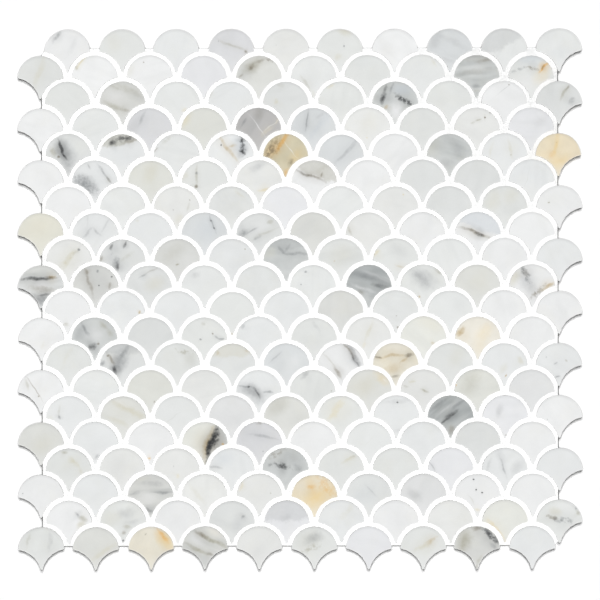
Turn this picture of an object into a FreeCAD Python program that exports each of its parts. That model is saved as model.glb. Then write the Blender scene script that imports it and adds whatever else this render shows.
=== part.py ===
import FreeCAD, Part
import math
import os

# Fish scale mosaic sheet: marble scales in half-offset rows on a coated mesh backing.
# Millimetres. X runs along the rows, Y up the wall with every round head upwards, and Z out
# of the polished face. The origin is the middle of the sheet, on its back.

# Driving dimensions
HEAD_RADIUS = 12.4  # round head of one scale
JOINT = 2.35  # grout joint, the same all round a scale
ROW_HEIGHT = 14.15  # from the heads of one row to the heads of the next
TIP_WIDTH = 0.8  # blunt end of the tail, left where the two tail arcs meet
SCALE_THICKNESS = 9.5
MESH_THICKNESS = 0.5
MESH_SIDE_TRIM = 0.45  # mesh is cut this far inside the middle of the outermost scales
MESH_LIFT = 1.8  # its ends are cut this far above the head centres of the end rows
SCALES_PER_ROW = 10
ROWS = 20

# The two hundred scales are alike, so each arc is cut as a few flats that start and end on it.
HEAD_FLATS = 10
TAIL_FLATS = 4

# A tail arc is concentric with the head of the scale that nests under it, one joint away.
TAIL_RADIUS = HEAD_RADIUS + JOINT
HALF_PITCH = TAIL_RADIUS
PITCH = 2 * HALF_PITCH

UP = FreeCAD.Vector(0, 0, 1)


def shoulder():
    """The corner of a scale, where its head arc meets its right tail arc."""
    reach = math.hypot(HALF_PITCH, ROW_HEIGHT)
    along = (reach**2 + HEAD_RADIUS**2 - TAIL_RADIUS**2) / (2 * reach)
    across = math.sqrt(HEAD_RADIUS**2 - along**2)
    x = (along * HALF_PITCH + across * ROW_HEIGHT) / reach
    y = (across * HALF_PITCH - along * ROW_HEIGHT) / reach
    return FreeCAD.Vector(x, y, 0)


def tip():
    """The right end of the blunt tail."""
    run = HALF_PITCH - TIP_WIDTH / 2
    y = math.sqrt(TAIL_RADIUS**2 - run**2) - ROW_HEIGHT
    return FreeCAD.Vector(TIP_WIDTH / 2, y, 0)


def mirrored(point):
    """The point across the middle line of a scale."""
    return FreeCAD.Vector(-point.x, point.y, point.z)


def tail_middle(start, end):
    """The middle of the right tail arc, between its two ends."""
    centre = FreeCAD.Vector(HALF_PITCH, -ROW_HEIGHT, 0)
    outward = ((start + end) * 0.5 - centre).normalize()
    return centre + outward * TAIL_RADIUS


def scale_outline():
    """The head arc and the two tail arcs in flats, joined across the blunt tail."""
    corner = shoulder()
    point = tip()
    middle = tail_middle(corner, point)
    crown = FreeCAD.Vector(0, HEAD_RADIUS, 0)
    head = Part.Arc(corner, crown, mirrored(corner))
    left_tail = Part.Arc(mirrored(corner), mirrored(middle), mirrored(point))
    right_tail = Part.Arc(point, middle, corner)
    points = head.discretize(HEAD_FLATS + 1)
    points += left_tail.discretize(TAIL_FLATS + 1)[1:]
    points += right_tail.discretize(TAIL_FLATS + 1)
    return Part.makePolygon(points)


def scale_blank():
    """One scale, about the centre of its round head, lying on the mesh."""
    scale = Part.Face(scale_outline()).extrude(UP * SCALE_THICKNESS)
    scale.translate(UP * MESH_THICKNESS)
    return scale


def head_line(row):
    """The height of the head centres of a row, counted from the top of the sheet."""
    length = (ROWS - 1) * ROW_HEIGHT + HEAD_RADIUS - tip().y
    return length / 2 - HEAD_RADIUS - row * ROW_HEIGHT


def row_start(row):
    """The middle of a row's first scale; every second row steps in by half a pitch."""
    step = HALF_PITCH / 2 if row % 2 == 0 else -HALF_PITCH / 2
    return step - (SCALES_PER_ROW - 1) * PITCH / 2


def scale_row(blank, row):
    """One row of scales, each a stone of its own."""
    scales = []
    for column in range(SCALES_PER_ROW):
        scale = blank.copy()
        scale.translate(FreeCAD.Vector(row_start(row) + column * PITCH, head_line(row), 0))
        scales.append(scale)
    return Part.makeCompound(scales)


def mesh_backing():
    """The mesh as one plain sheet, cut straight so that the outer scales overhang it."""
    left = row_start(1) + MESH_SIDE_TRIM
    bottom = head_line(ROWS - 1) + MESH_LIFT
    top = head_line(0) + MESH_LIFT
    corner = FreeCAD.Vector(left, bottom, 0)
    return Part.makeBox(-2 * left, top - bottom, MESH_THICKNESS, corner)


def main():
    os.makedirs("parts", exist_ok=True)
    blank = scale_blank()
    for row in range(ROWS):
        scale_row(blank, row).exportStep(f"parts/scale_row_{row + 1:02d}.step")
    mesh_backing().exportStep("parts/mesh_backing.step")


main()
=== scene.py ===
import math
import random

import bpy
from mathutils import Matrix, Vector


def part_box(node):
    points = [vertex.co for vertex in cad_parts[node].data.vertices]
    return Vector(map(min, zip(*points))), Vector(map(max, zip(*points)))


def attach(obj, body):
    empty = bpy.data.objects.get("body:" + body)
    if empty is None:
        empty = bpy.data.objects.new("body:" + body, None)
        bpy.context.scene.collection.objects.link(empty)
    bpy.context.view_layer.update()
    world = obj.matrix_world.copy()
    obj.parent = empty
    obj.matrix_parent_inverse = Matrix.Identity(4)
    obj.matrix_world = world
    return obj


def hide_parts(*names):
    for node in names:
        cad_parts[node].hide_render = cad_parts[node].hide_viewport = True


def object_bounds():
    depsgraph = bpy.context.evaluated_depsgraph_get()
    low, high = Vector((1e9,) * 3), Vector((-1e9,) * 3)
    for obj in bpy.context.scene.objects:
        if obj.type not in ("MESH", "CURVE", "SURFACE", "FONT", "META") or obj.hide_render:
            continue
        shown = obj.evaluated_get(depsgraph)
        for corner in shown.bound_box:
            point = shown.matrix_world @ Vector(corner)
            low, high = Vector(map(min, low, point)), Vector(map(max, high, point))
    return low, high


# Fish scale mosaic sheet: marble scales glued to a coated glass-fibre net, on a white floor.
# Metres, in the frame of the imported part: X along the rows, Y up the wall, Z out of the face.

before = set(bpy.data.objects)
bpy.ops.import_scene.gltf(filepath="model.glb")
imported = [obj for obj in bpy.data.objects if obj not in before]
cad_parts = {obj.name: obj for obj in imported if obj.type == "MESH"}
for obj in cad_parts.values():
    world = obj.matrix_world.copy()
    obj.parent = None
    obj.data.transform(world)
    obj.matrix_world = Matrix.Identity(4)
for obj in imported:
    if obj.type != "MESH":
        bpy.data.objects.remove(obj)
cad_low, cad_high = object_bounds()

bl_info = {
    "name": "Fish scale marble mosaic sheet",
    "version": (1, 0, 0),
    "blender": (4, 5, 0),
    "location": "View3D > Sidebar > Mosaic",
    "description": "Dresses the packed mosaic sheet with marble scales and a mesh backing",
    "category": "Object",
}

MM = 0.001
TOLERANCE = 0.01 * MM

# The lattice of the sheet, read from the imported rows
ROW_NODES = sorted(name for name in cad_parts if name.startswith("scale_row_"))
FIRST_LOW, FIRST_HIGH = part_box(ROW_NODES[0])
SECOND_LOW, SECOND_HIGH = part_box(ROW_NODES[1])
NET_LOW, NET_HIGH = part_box("mesh_backing")
HALF_PITCH = FIRST_LOW.x - SECOND_LOW.x
PITCH = 2 * HALF_PITCH
ROW_HEIGHT = FIRST_HIGH.y - SECOND_HIGH.y
SCALES_PER_ROW = round((FIRST_HIGH.x - FIRST_LOW.x) / PITCH)

# Two corners of the backing are snipped off: a point on the cut in millimetres, and which way
# the offcut lies
SNIPPED_CORNERS = (((-138.6, 133.4, 0), (-0.8, 0.6, 0)), ((138.5, -132.0, 0), (0.7, -0.7, 0)))

# How finely a head and a tail arc, a strand over two wefts and a weft are modelled
HEAD_STEPS = 14
TAIL_STEPS = 5
STRAND_STEPS = 6
WEFT_CUTS = 40

# A face is level, or slopes up the sheet, by its normal; an edge sharper than these is a crease
LEVEL = 0.9
SLOPES_UP = 0.3
STONE_CREASE = math.radians(30)
BACKING_CREASE = math.radians(50)

# How many marks a stone can carry, how far apart in the block stones are cut in millimetres,
# how much their shade varies and how far their tops tilt
MARK_SLOTS = 7
BLOCK_REACH = 900
SHADE_SPREAD = 0.006
TOP_TILT = 0.0012

# Tints inside the stone as they show on a screen, the grey of the painted crown shade, the white of
# the painted highlight and crushed edge, and the chalk of a sawn side as light
WARM_CAST = (1.0, 0.996, 0.984, 1)
DARK_BED = (0.52, 0.54, 0.54, 1)
PALE_BED = (0.87, 0.875, 0.87, 1)
PAINTED_CROWN_SHADE = (0.5, 0.5, 0.5, 1)
CRUSHED_AND_HIGHLIGHT_WHITE = (0.98, 0.98, 0.98, 1)
SAWN_CHALK = (0.92, 0.92, 0.91, 1)

# The stage, in metres, and the width of the camera's sensor in millimetres
FLOOR_SIZE = 8
FLOOR_GAP = 0.02 * MM
NEAREST, FARTHEST = 0.1, 100
SENSOR_WIDTH = 36


def colour(name, description, red, green, blue):
    """A colour property, written as it shows on a screen, in steps of 255."""
    return bpy.props.FloatVectorProperty(
        name=name,
        description=description,
        default=(red / 255, green / 255, blue / 255),
        min=0,
        max=1,
        size=3,
        subtype="COLOR_GAMMA",
    )


def length(name, description, millimetres):
    return bpy.props.FloatProperty(
        name=name,
        description=description,
        default=millimetres * MM,
        min=0,
        precision=5,
        subtype="DISTANCE",
        unit="LENGTH",
    )


def share(name, description, default):
    return bpy.props.FloatProperty(
        name=name, description=description, default=default, min=0, subtype="FACTOR"
    )


def angle(name, description, degrees):
    return bpy.props.FloatProperty(
        name=name,
        description=description,
        default=math.radians(degrees),
        subtype="ANGLE",
        unit="ROTATION",
    )


class ScaleSettings(bpy.types.PropertyGroup):
    joint: length("Joint", "Gap between one scale and the next", 2.35)
    tip_width: length("Tip width", "Blunt end of a tail", 0.8)
    corner: length("Corner rounding", "How far the two shoulders are rubbed off", 0.3)
    tip_corner: length("Tip rounding", "How far the ends of the blunt tail are rubbed off", 0.1)
    arris: length("Arris", "Width of the eased top edge", 0.14)
    drift_across: length("Drift across", "How far a scale is set off its place along the row", 0.22)
    drift_up: length("Drift up", "How far a scale is set off its place up the sheet", 0.16)
    turn: angle("Turn", "How far a scale is set askew", 0.4)
    wobble: length("Wobble", "How far a cut strays from the true arc", 0.05)
    thinner: length("Thinner", "The most that a stone is thinner than the thickest", 0.2)
    seed: bpy.props.IntProperty(
        name="Seed", description="Start of the random draws for setting and figure", default=11
    )


class MarbleSettings(bpy.types.PropertyGroup):
    cool: colour("Cool white", "Plain stone, cool", 231, 233, 233)
    neutral: colour("Neutral white", "Plain stone", 231, 233, 232)
    warm: colour("Warm white", "Plain stone, warm", 231, 232, 230)
    bright: colour("Bright white", "The whitest stone", 238, 239, 239)
    lavender: colour("Lavender white", "Stone with a violet cast", 231, 232, 234)
    mauve: colour("Lavender grey", "Greyer stone with a violet cast", 218, 219, 221)
    ice: colour("Ice grey", "Stone with a blue cast", 219, 222, 223)
    soft: colour("Soft white", "Slightly greyer plain stone", 227, 229, 227)
    dove: colour("Dove grey", "Light grey stone without a cast", 226, 227, 227)
    pale: colour("Pale grey", "Light grey stone", 223, 225, 224)
    ash: colour("Ash grey", "Warm grey stone", 215, 216, 213)
    misty: colour("Mid grey", "Smoky stone", 203, 206, 205)
    taupe: colour("Brown grey", "Smoky stone with a brown cast", 187, 186, 185)
    storm: colour("Dark grey", "Streaked dark stone", 176, 180, 180)
    beige: colour("Beige", "Beige grey stone", 221, 222, 218)
    sallow: colour("Sallow", "Stone with a yellow green cast", 222, 223, 217)
    cream: colour("Cream", "Cream stone", 229, 230, 224)
    oat: colour("Oat", "Deeper cream stone", 227, 226, 214)
    straw: colour("Straw", "Yellow cream stone", 237, 233, 222)
    wheat: colour("Wheat", "Deeper yellow stone", 228, 223, 208)
    amber: colour("Amber", "Golden stone", 231, 219, 193)
    tan: colour("Tan", "Brown gold stone", 208, 200, 174)
    white: colour("White patch", "Clear white in a darker stone", 243, 243, 244)
    grey: colour("Grey mark", "Soft grey cloud", 178, 180, 181)
    slate: colour("Slate mark", "Blue grey vein", 124, 127, 129)
    blue: colour("Blue mark", "Blue grey cloud", 196, 203, 210)
    black: colour("Black mark", "Black vein", 34, 35, 36)
    umber: colour("Umber mark", "Brown vein", 106, 98, 84)
    olive: colour("Olive mark", "Olive grey vein", 150, 147, 128)
    sand: colour("Sand mark", "Beige vein", 208, 204, 184)
    gold: colour("Gold mark", "Gold vein", 222, 206, 162)
    honey: colour("Honey mark", "Golden cloud", 233, 203, 143)
    ochre: colour("Ochre mark", "Brown gold vein", 176, 150, 106)
    rust: colour("Rust mark", "Rust stain", 220, 146, 52)
    mark_strength: share("Mark strength", "How strongly veins and stains show", 0.7)
    face_roughness: share("Face roughness", "Roughness of the honed face", 0.34)
    side_roughness: share("Side roughness", "Roughness of the sawn sides", 0.78)


class BackingSettings(bpy.types.PropertyGroup):
    spacing: length("Thread spacing", "From one thread of the net to the next", 5)
    weft_width: length("Weft width", "Width of a thread that runs along the rows", 0.9)
    weft_height: length("Weft height", "Height of a thread that runs along the rows", 0.12)
    strand_width: length("Strand width", "Width of each of the twisted strands", 0.44)
    strand_height: length("Strand height", "Height of each of the twisted strands", 0.2)
    twist: length("Twist", "How far the strands of a pair swing aside", 0.22)
    skin_low: length("Skin bottom", "Underside of the latex skin above the back", 0.12)
    skin_high: length("Skin top", "Top of the latex skin above the back", 0.44)
    thread: colour("Thread", "Glass-fibre thread", 250, 250, 250)
    latex: colour("Latex", "Latex skin", 251, 251, 251)
    # Painted shadow: the skin's cut edge is coloured dark as the sheet's shadow line, on a bevel
    # that is widened along the bottom and narrowed along the top
    cut_edge: colour("Cut edge", "Where the skin is cut, grey with dust", 70, 70, 68)
    cut_width: length("Cut width", "How far the cut edge is worn back", 0.32)
    shadow_wider_below: length("Shadow wider below", "How much further it is worn back along the bottom", 0.25)
    bevel_narrower_above: length("Bevel narrower above", "How much less it is worn back along the top", 0.1)
    hangs_below: length("Hangs below", "How far the skin runs out past the net at the bottom", 0.39)
    hangs_above: length("Hangs above", "How far the skin runs out past the net at the top", 0.1)
    inset: length("Inset", "How far inside the net's outline its threads end", 0.5)


class StageSettings(bpy.types.PropertyGroup):
    floor: colour("Floor", "Floor colour", 243, 243, 243)
    key: share("Key light", "Irradiance of the overhead light on the stone", 0.895)
    key_size: angle("Key size", "How wide the overhead light looks", 2)
    key_lean: angle("Key lean", "How far the overhead light leans, from the tails' side", 14)
    joints: share("Joint light", "Irradiance of the light down the joints", 0.8)
    joints_size: angle("Joint light size", "How wide the light down the joints looks", 0.6)
    low: share("Floor light", "Irradiance of the light that only the floor gets", 1.0)
    low_size: angle("Floor light size", "How wide the floor's light looks", 12)
    low_lean: angle("Floor light lean", "How far the floor's light leans, from the tails' side", -9)
    sky: share("Sky light", "Radiance of the light from all round", 0.12)
    contact: length("Contact shade", "How far round the sheet the floor is shaded by its edge", 1.1)
    glow: share("Backdrop lift", "What the floor adds for the eye alone", 0.02)
    lens: bpy.props.FloatProperty(
        name="Lens", description="Focal length in millimetres", default=1200, min=1
    )
    view_width: length("View width", "How much the picture spans", 324.2)
    view_drop: length("View drop", "How far below the middle the camera points", 0.43)
    view_turn: angle("View turn", "How far the camera is turned about its own axis", -0.12)


# Form of a mark: half its length and half its width, in head radii, how soft its edge is, how
# far it breaks up, and how strong a haze it has round it
FORMS = {
    "spot": (0.045, 0.038, 0.7, 0.1, 0.12),
    "dash": (0.15, 0.055, 0.9, 0.3, 0.2),
    "hair": (0.5, 0.022, 0.9, 0.3, 0.0),
    "vein": (0.5, 0.065, 1.0, 0.3, 0.22),
    "streak": (0.4, 0.11, 1.0, 0.3, 0.25),
    "band": (0.8, 0.15, 1.0, 0.3, 0.15),
    "smudge": (0.22, 0.14, 1.0, 0.35, 0.2),
    "cloud": (0.5, 0.28, 1.0, 0.2, 0.0),
    "wash": (0.6, 0.4, 1.0, 0.1, 0.0),
    "cap": (1.4, 0.5, 0.22, 0.12, 0.0),
    "speckle": (0.45, 0.16, 1.0, 0.85, 0.12),
}

# Stones that aren't plain white: (row, place in the row), counted from the top left
STONES = {
    "bright": (
        (0, 0), (0, 6), (1, 1), (1, 2), (2, 8), (3, 0), (4, 6), (5, 0), (5, 5), (5, 6), (6, 0),
        (6, 9), (7, 7), (7, 8), (7, 9), (8, 8), (9, 9), (10, 0), (10, 8), (10, 9), (11, 0),
        (11, 9), (12, 5), (13, 0), (14, 9), (15, 2), (15, 5), (15, 9), (17, 0), (17, 8), (17, 9),
        (18, 0), (18, 2), (18, 6),
    ),
    "cool": (
        (0, 2), (4, 1), (4, 3), (5, 1), (7, 1), (8, 3), (8, 9), (10, 1), (11, 4),
        (13, 4), (15, 1), (15, 7), (16, 3), (16, 8), (16, 9), (17, 1), (19, 9),
    ),
    "warm": ((3, 6), (5, 4), (6, 6), (8, 0), (11, 6), (13, 3), (13, 7), (17, 3), (17, 4)),
    "lavender": ((1, 3), (3, 9), (6, 4), (14, 8), (16, 7), (18, 4), (19, 6)),
    "mauve": ((0, 3), (3, 2), (15, 4)),
    "ice": ((0, 7), (3, 5), (4, 5), (7, 3), (12, 4)),
    "soft": (
        (0, 1), (0, 5), (1, 0), (1, 6), (1, 9), (2, 0), (2, 5), (2, 7), (3, 7), (5, 3), (6, 8),
        (8, 5), (8, 6), (9, 7), (10, 3), (11, 3), (11, 5), (12, 0), (12, 2), (12, 7), (13, 5),
        (14, 5), (16, 0), (16, 5), (16, 6), (18, 1), (18, 9), (19, 0), (19, 5), (19, 7),
    ),
    "dove": ((13, 9), (14, 3), (17, 7)),
    "pale": (
        (2, 4), (2, 9), (4, 0), (5, 7), (5, 8), (6, 3), (6, 7), (7, 4), (8, 1), (9, 0), (9, 2),
        (9, 4), (11, 2), (12, 1), (12, 3), (15, 8), (17, 6), (18, 3),
    ),
    "ash": ((2, 1), (8, 2), (9, 1), (10, 5), (17, 2), (19, 3), (19, 8)),
    "misty": ((1, 8), (2, 6), (4, 7), (8, 4), (11, 1), (16, 4)),
    "taupe": ((3, 4),),
    "storm": ((9, 6), (14, 7)),
    "beige": ((1, 4), (7, 5), (9, 8), (13, 6), (14, 1), (14, 4), (15, 0), (19, 1)),
    "sallow": ((3, 3), (5, 2), (13, 2), (13, 8)),
    "cream": ((11, 7), (15, 3), (18, 8)),
    "oat": ((7, 0),),
    "straw": ((11, 8),),
    "wheat": ((12, 6), (19, 2)),
    "amber": ((4, 9), (17, 5)),
    "tan": ((4, 4),),
}

# What a plain stone may be, and which kinds have strong clouds
PLAIN_KINDS = ("cool", "neutral", "neutral", "warm")
CLOUDED_KINDS = ("misty", "storm", "tan", "straw", "wheat", "amber")

# Stones cut along visible bedding: how strongly it streaks, and which way it runs
BEDDING = {
    (0, 7): (0.1, -25),
    (1, 8): (0.35, 4),
    (3, 4): (0.15, 60),
    (4, 7): (0.2, -20),
    (8, 4): (0.15, -6),
    (9, 0): (0.2, 2),
    (9, 6): (0.45, -14),
    (14, 7): (0.5, 38),
    (17, 2): (0.25, 6),
    (19, 3): (0.2, -27),
}

# Marks in the stone, the uppermost first: row, place, form, colour, strength, across and up from
# the middle of the head in head radii, turn in degrees, and size against its form
MARKS = (
    (0, 0, "streak", "slate", 0.75, -0.45, 0.72, 57, 0.75),
    (0, 0, "streak", "grey", 0.25, 0.2, 0.25, 65, 1.3),
    (0, 1, "wash", "sand", 0.2, -0.4, 0.4, 80, 0.8),
    (0, 3, "vein", "olive", 0.5, 0.04, 0.28, -22, 1.2),
    (0, 3, "smudge", "umber", 0.8, 0.6, 0.01, -20, 0.4),
    (0, 3, "spot", "slate", 0.5, -0.57, 0.46, 0, 0.8),
    (0, 5, "wash", "sand", 0.8, 0.2, 0.88, -10, 0.45),
    (0, 5, "spot", "slate", 0.8, 0.18, 0.3, 0, 1.2),
    (0, 5, "smudge", "sand", 0.6, -0.09, -0.22, 60, 0.8),
    (0, 7, "cloud", "grey", 0.6, -0.6, 0.5, 60, 0.8),
    (0, 7, "band", "grey", 0.4, 0.2, 0.4, -25, 0.9),
    (0, 7, "band", "grey", 0.4, -0.1, -0.35, -15, 0.6),
    (0, 8, "cap", "grey", 0.45, -0.15, 0.62, 29, 1.0),
    (1, 0, "band", "sand", 0.6, -0.04, 0.28, 72, 0.9),
    (1, 1, "vein", "gold", 0.9, -0.59, 0.67, 47, 0.65),
    (1, 1, "dash", "olive", 0.6, -0.79, 0.46, 60, 0.8),
    (1, 2, "spot", "umber", 0.6, -0.26, 0.66, 0, 0.9),
    (1, 2, "wash", "sand", 0.25, -0.85, 0.3, 60, 0.5),
    (1, 4, "smudge", "umber", 0.9, -0.38, 0.43, 50, 0.8),
    (1, 4, "speckle", "umber", 0.9, 0.4, 0.78, -30, 0.4),
    (1, 4, "streak", "umber", 0.5, -0.05, 0.72, 22, 0.9),
    (1, 4, "cloud", "olive", 0.7, -0.3, 0.5, 40, 0.9),
    (1, 4, "dash", "umber", 0.4, -0.78, 0.08, 40, 1.0),
    (1, 4, "wash", "grey", 0.5, -0.6, 0.3, 60, 0.9),
    (1, 5, "streak", "olive", 0.45, -0.33, -0.27, -60, 0.9),
    (1, 5, "smudge", "sand", 0.4, 0.0, -0.67, 80, 0.6),
    (1, 6, "wash", "blue", 0.15, 0.0, 0.8, 0, 1.0),
    (1, 7, "dash", "sand", 0.5, 0.52, 0.71, -50, 1.3),
    (1, 8, "smudge", "slate", 0.7, -0.02, -0.33, 5, 0.7),
    (1, 8, "streak", "umber", 0.55, 0.35, 0.72, 8, 0.8),
    (1, 8, "streak", "olive", 0.4, 0.0, -0.55, 10, 0.5),
    (1, 8, "band", "umber", 0.25, -0.1, 0.28, 4, 1.0),
    (1, 8, "wash", "white", 0.2, 0.1, 0.5, 5, 0.6),
    (1, 8, "cap", "umber", 0.16, 0.0, 0.98, 3, 0.6),
    (1, 9, "dash", "umber", 0.9, 0.52, 0.48, 43, 0.8),
    (1, 9, "streak", "rust", 1.3, 0.55, 0.5, 43, 0.65),
    (1, 9, "speckle", "umber", 0.9, 0.04, 0.46, -8, 0.55),
    (1, 9, "speckle", "slate", 0.5, -0.6, 0.35, 25, 0.6),
    (1, 9, "cloud", "blue", 0.7, -0.05, 0.85, 5, 1.2),
    (1, 9, "wash", "amber", 0.8, 0.48, 0.15, 60, 0.8),
    (1, 9, "wash", "white", 0.5, -0.2, -0.2, 0, 1.0),
    (2, 1, "streak", "olive", 0.65, -0.3, -0.07, -23, 1.3),
    (2, 1, "dash", "umber", 0.4, 0.12, -0.25, -15, 1.2),
    (2, 1, "streak", "olive", 0.4, -0.35, 0.76, -20, 0.6),
    (2, 1, "band", "olive", 0.35, 0.3, 0.6, -27, 1.0),
    (2, 1, "wash", "white", 0.6, -0.25, 0.3, -27, 0.7),
    (2, 1, "cloud", "grey", 0.5, 0.6, 0.35, -30, 0.8),
    (2, 2, "smudge", "gold", 0.5, 0.28, -0.25, 30, 0.5),
    (2, 3, "dash", "olive", 0.25, -0.83, 0.4, 60, 1.0),
    (2, 4, "smudge", "sand", 0.8, -0.41, 0.07, 60, 0.7),
    (2, 4, "smudge", "olive", 0.3, -0.2, 0.82, 0, 0.6),
    (2, 5, "dash", "gold", 0.4, -0.45, 0.83, 30, 1.3),
    (2, 6, "smudge", "black", 1.0, -0.53, 0.27, 80, 0.9),
    (2, 6, "streak", "black", 0.6, -0.45, 0.65, 78, 0.6),
    (2, 6, "streak", "slate", 0.7, -0.2, 0.68, 70, 0.7),
    (2, 6, "speckle", "black", 1.1, 0.4, 0.14, -30, 0.9),
    (2, 6, "smudge", "ochre", 0.7, -0.38, -0.13, 60, 0.5),
    (2, 6, "wash", "white", 1.1, 0.02, -0.3, 90, 0.75),
    (2, 6, "cloud", "blue", 0.8, 0.3, 0.65, 0, 0.9),
    (2, 8, "hair", "grey", 0.5, 0.0, 0.66, 42, 0.8),
    (2, 8, "spot", "umber", 0.7, 0.19, 0.87, 50, 0.8),
    (2, 9, "dash", "umber", 0.5, 0.33, 0.7, 60, 0.9),
    (2, 9, "streak", "olive", 0.7, 0.22, 0.5, 60, 0.8),
    (2, 9, "smudge", "slate", 0.6, 0.56, 0.14, 60, 0.8),
    (2, 9, "cloud", "grey", 0.2, -0.35, 0.6, 70, 1.0),
    (3, 2, "streak", "slate", 0.5, -0.32, 0.52, 64, 0.75),
    (3, 2, "wash", "grey", 0.4, -0.7, 0.2, 60, 0.7),
    (3, 3, "wash", "gold", 0.5, -0.85, 0.5, 60, 0.7),
    (3, 4, "streak", "slate", 0.7, -0.66, 0.38, 60, 0.6),
    (3, 4, "hair", "white", 0.8, -0.02, 0.2, -53, 1.3),
    (3, 4, "hair", "cream", 0.7, 0.6, 0.25, 48, 1.0),
    (3, 4, "streak", "amber", 0.6, 0.4, -0.05, 45, 0.9),
    (3, 4, "dash", "amber", 0.7, 0.78, 0.45, 62, 1.0),
    (3, 4, "cloud", "umber", 0.2, 0.02, 0.74, 80, 0.7),
    (3, 5, "vein", "slate", 0.9, -0.27, 0.45, 83, 0.75),
    (3, 5, "streak", "grey", 0.5, 0.33, 0.67, 32, 0.7),
    (3, 5, "band", "blue", 0.45, 0.25, 0.2, 55, 1.0),
    (3, 5, "wash", "slate", 0.16, -0.3, 0.4, 80, 1.4),
    (3, 6, "spot", "gold", 0.6, 0.0, -0.3, 0, 0.8),
    (3, 6, "wash", "sand", 0.15, 0.1, 0.2, 50, 1.0),
    (3, 8, "spot", "umber", 1.0, 0.33, 0.6, 0, 1.1),
    (3, 8, "dash", "olive", 0.8, 0.03, 0.49, 25, 0.9),
    (3, 8, "spot", "umber", 0.6, 0.56, 0.76, 0, 0.8),
    (3, 8, "dash", "olive", 0.35, -0.2, 0.35, 25, 0.8),
    (3, 9, "cloud", "grey", 0.3, 0.4, 0.35, 50, 0.9),
    (4, 0, "streak", "black", 1.4, -0.28, 0.4, -66, 0.85),
    (4, 0, "dash", "black", 1.2, -0.12, 0.05, -60, 1.2),
    (4, 0, "spot", "umber", 0.9, -0.4, 0.02, 0, 1.5),
    (4, 0, "smudge", "olive", 0.6, -0.66, 0.22, -45, 1.0),
    (4, 0, "cloud", "slate", 0.65, -0.12, 0.1, -65, 1.3),
    (4, 0, "cloud", "slate", 0.4, -0.05, -0.5, -70, 0.9),
    (4, 0, "wash", "cream", 0.5, 0.6, 0.5, 60, 0.7),
    (4, 1, "smudge", "black", 1.1, -0.38, 0.62, 18, 0.8),
    (4, 1, "speckle", "black", 0.9, 0.15, 0.84, 12, 0.9),
    (4, 1, "streak", "umber", 0.6, 0.35, 0.7, 16, 0.7),
    (4, 1, "cap", "olive", 0.5, -0.05, 0.85, 14, 0.72),
    (4, 1, "wash", "ice", 0.5, 0.1, 0.0, 0, 1.0),
    (4, 2, "dash", "umber", 0.5, -0.88, 0.36, 50, 0.7),
    (4, 2, "speckle", "olive", 0.3, -0.4, 0.75, 30, 0.6),
    (4, 3, "smudge", "black", 1.4, 0.52, 0.2, -30, 0.7),
    (4, 3, "smudge", "black", 1.2, 0.44, 0.75, 80, 0.5),
    (4, 3, "speckle", "black", 0.9, 0.5, 0.45, -80, 0.8),
    (4, 3, "spot", "black", 0.9, -0.4, 0.55, 0, 0.8),
    (4, 3, "vein", "ochre", 0.7, -0.12, 0.36, -53, 1.4),
    (4, 3, "dash", "ochre", 0.5, 0.06, 0.5, 20, 1.1),
    (4, 3, "cloud", "blue", 0.6, 0.4, 0.45, -80, 1.0),
    (4, 4, "hair", "white", 0.8, 0.25, 0.3, -50, 1.0),
    (4, 4, "band", "rust", 0.8, -0.1, 0.72, 55, 0.7),
    (4, 4, "speckle", "umber", 0.9, -0.6, 0.35, 60, 1.4),
    (4, 4, "smudge", "umber", 0.7, 0.2, -0.25, 60, 0.9),
    (4, 4, "smudge", "rust", 0.8, 0.0, -0.7, 80, 0.9),
    (4, 4, "cloud", "honey", 0.6, 0.45, -0.05, 60, 1.0),
    (4, 4, "cloud", "rust", 0.4, -0.6, 0.3, 60, 1.0),
    (4, 5, "vein", "slate", 0.45, 0.24, 0.25, 48, 1.5),
    (4, 7, "cloud", "slate", 0.35, 0.4, 0.35, -60, 0.9),
    (4, 7, "cloud", "slate", 0.3, -0.1, -0.25, 0, 0.8),
    (4, 7, "wash", "sand", 0.3, -0.7, 0.5, 60, 0.8),
    (4, 8, "streak", "sand", 0.35, -0.6, 0.25, 75, 0.9),
    (4, 8, "streak", "sand", 0.6, 0.25, 0.3, 100, 1.0),
    (4, 8, "spot", "olive", 0.5, 0.25, 0.03, 0, 1.1),
    (4, 9, "band", "honey", 0.9, -0.12, 0.45, 80, 0.7),
    (4, 9, "smudge", "rust", 0.35, -0.28, 0.05, 75, 1.0),
    (4, 9, "cloud", "honey", 0.6, 0.1, -0.2, 20, 0.9),
    (4, 9, "spot", "umber", 0.3, -0.1, 0.57, 0, 0.9),
    (5, 1, "speckle", "slate", 0.6, -0.35, -0.1, -40, 1.5),
    (5, 1, "cloud", "slate", 0.85, -0.38, -0.06, -40, 1.1),
    (5, 1, "vein", "slate", 0.65, 0.42, 0.42, -53, 1.0),
    (5, 1, "dash", "umber", 0.5, 0.6, 0.16, -50, 1.0),
    (5, 1, "dash", "grey", 0.9, -0.26, 0.75, -50, 0.8),
    (5, 2, "cloud", "sand", 0.5, 0.0, 0.5, 75, 1.0),
    (5, 3, "spot", "umber", 0.9, -0.38, -0.13, 80, 1.8),
    (5, 3, "spot", "slate", 0.7, -0.36, 0.4, 80, 1.5),
    (5, 3, "vein", "olive", 0.5, -0.37, 0.3, 88, 1.0),
    (5, 3, "smudge", "sand", 0.6, -0.9, 0.3, 50, 1.0),
    (5, 4, "cloud", "grey", 0.7, -0.05, 0.75, 25, 0.7),
    (5, 4, "streak", "gold", 0.9, 0.22, -0.26, 17, 0.7),
    (5, 5, "vein", "umber", 0.85, -0.15, 0.31, -23, 1.3),
    (5, 5, "vein", "black", 0.4, -0.4, 0.43, -25, 0.7),
    (5, 5, "dash", "umber", 0.7, 0.32, 0.38, 72, 0.9),
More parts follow.
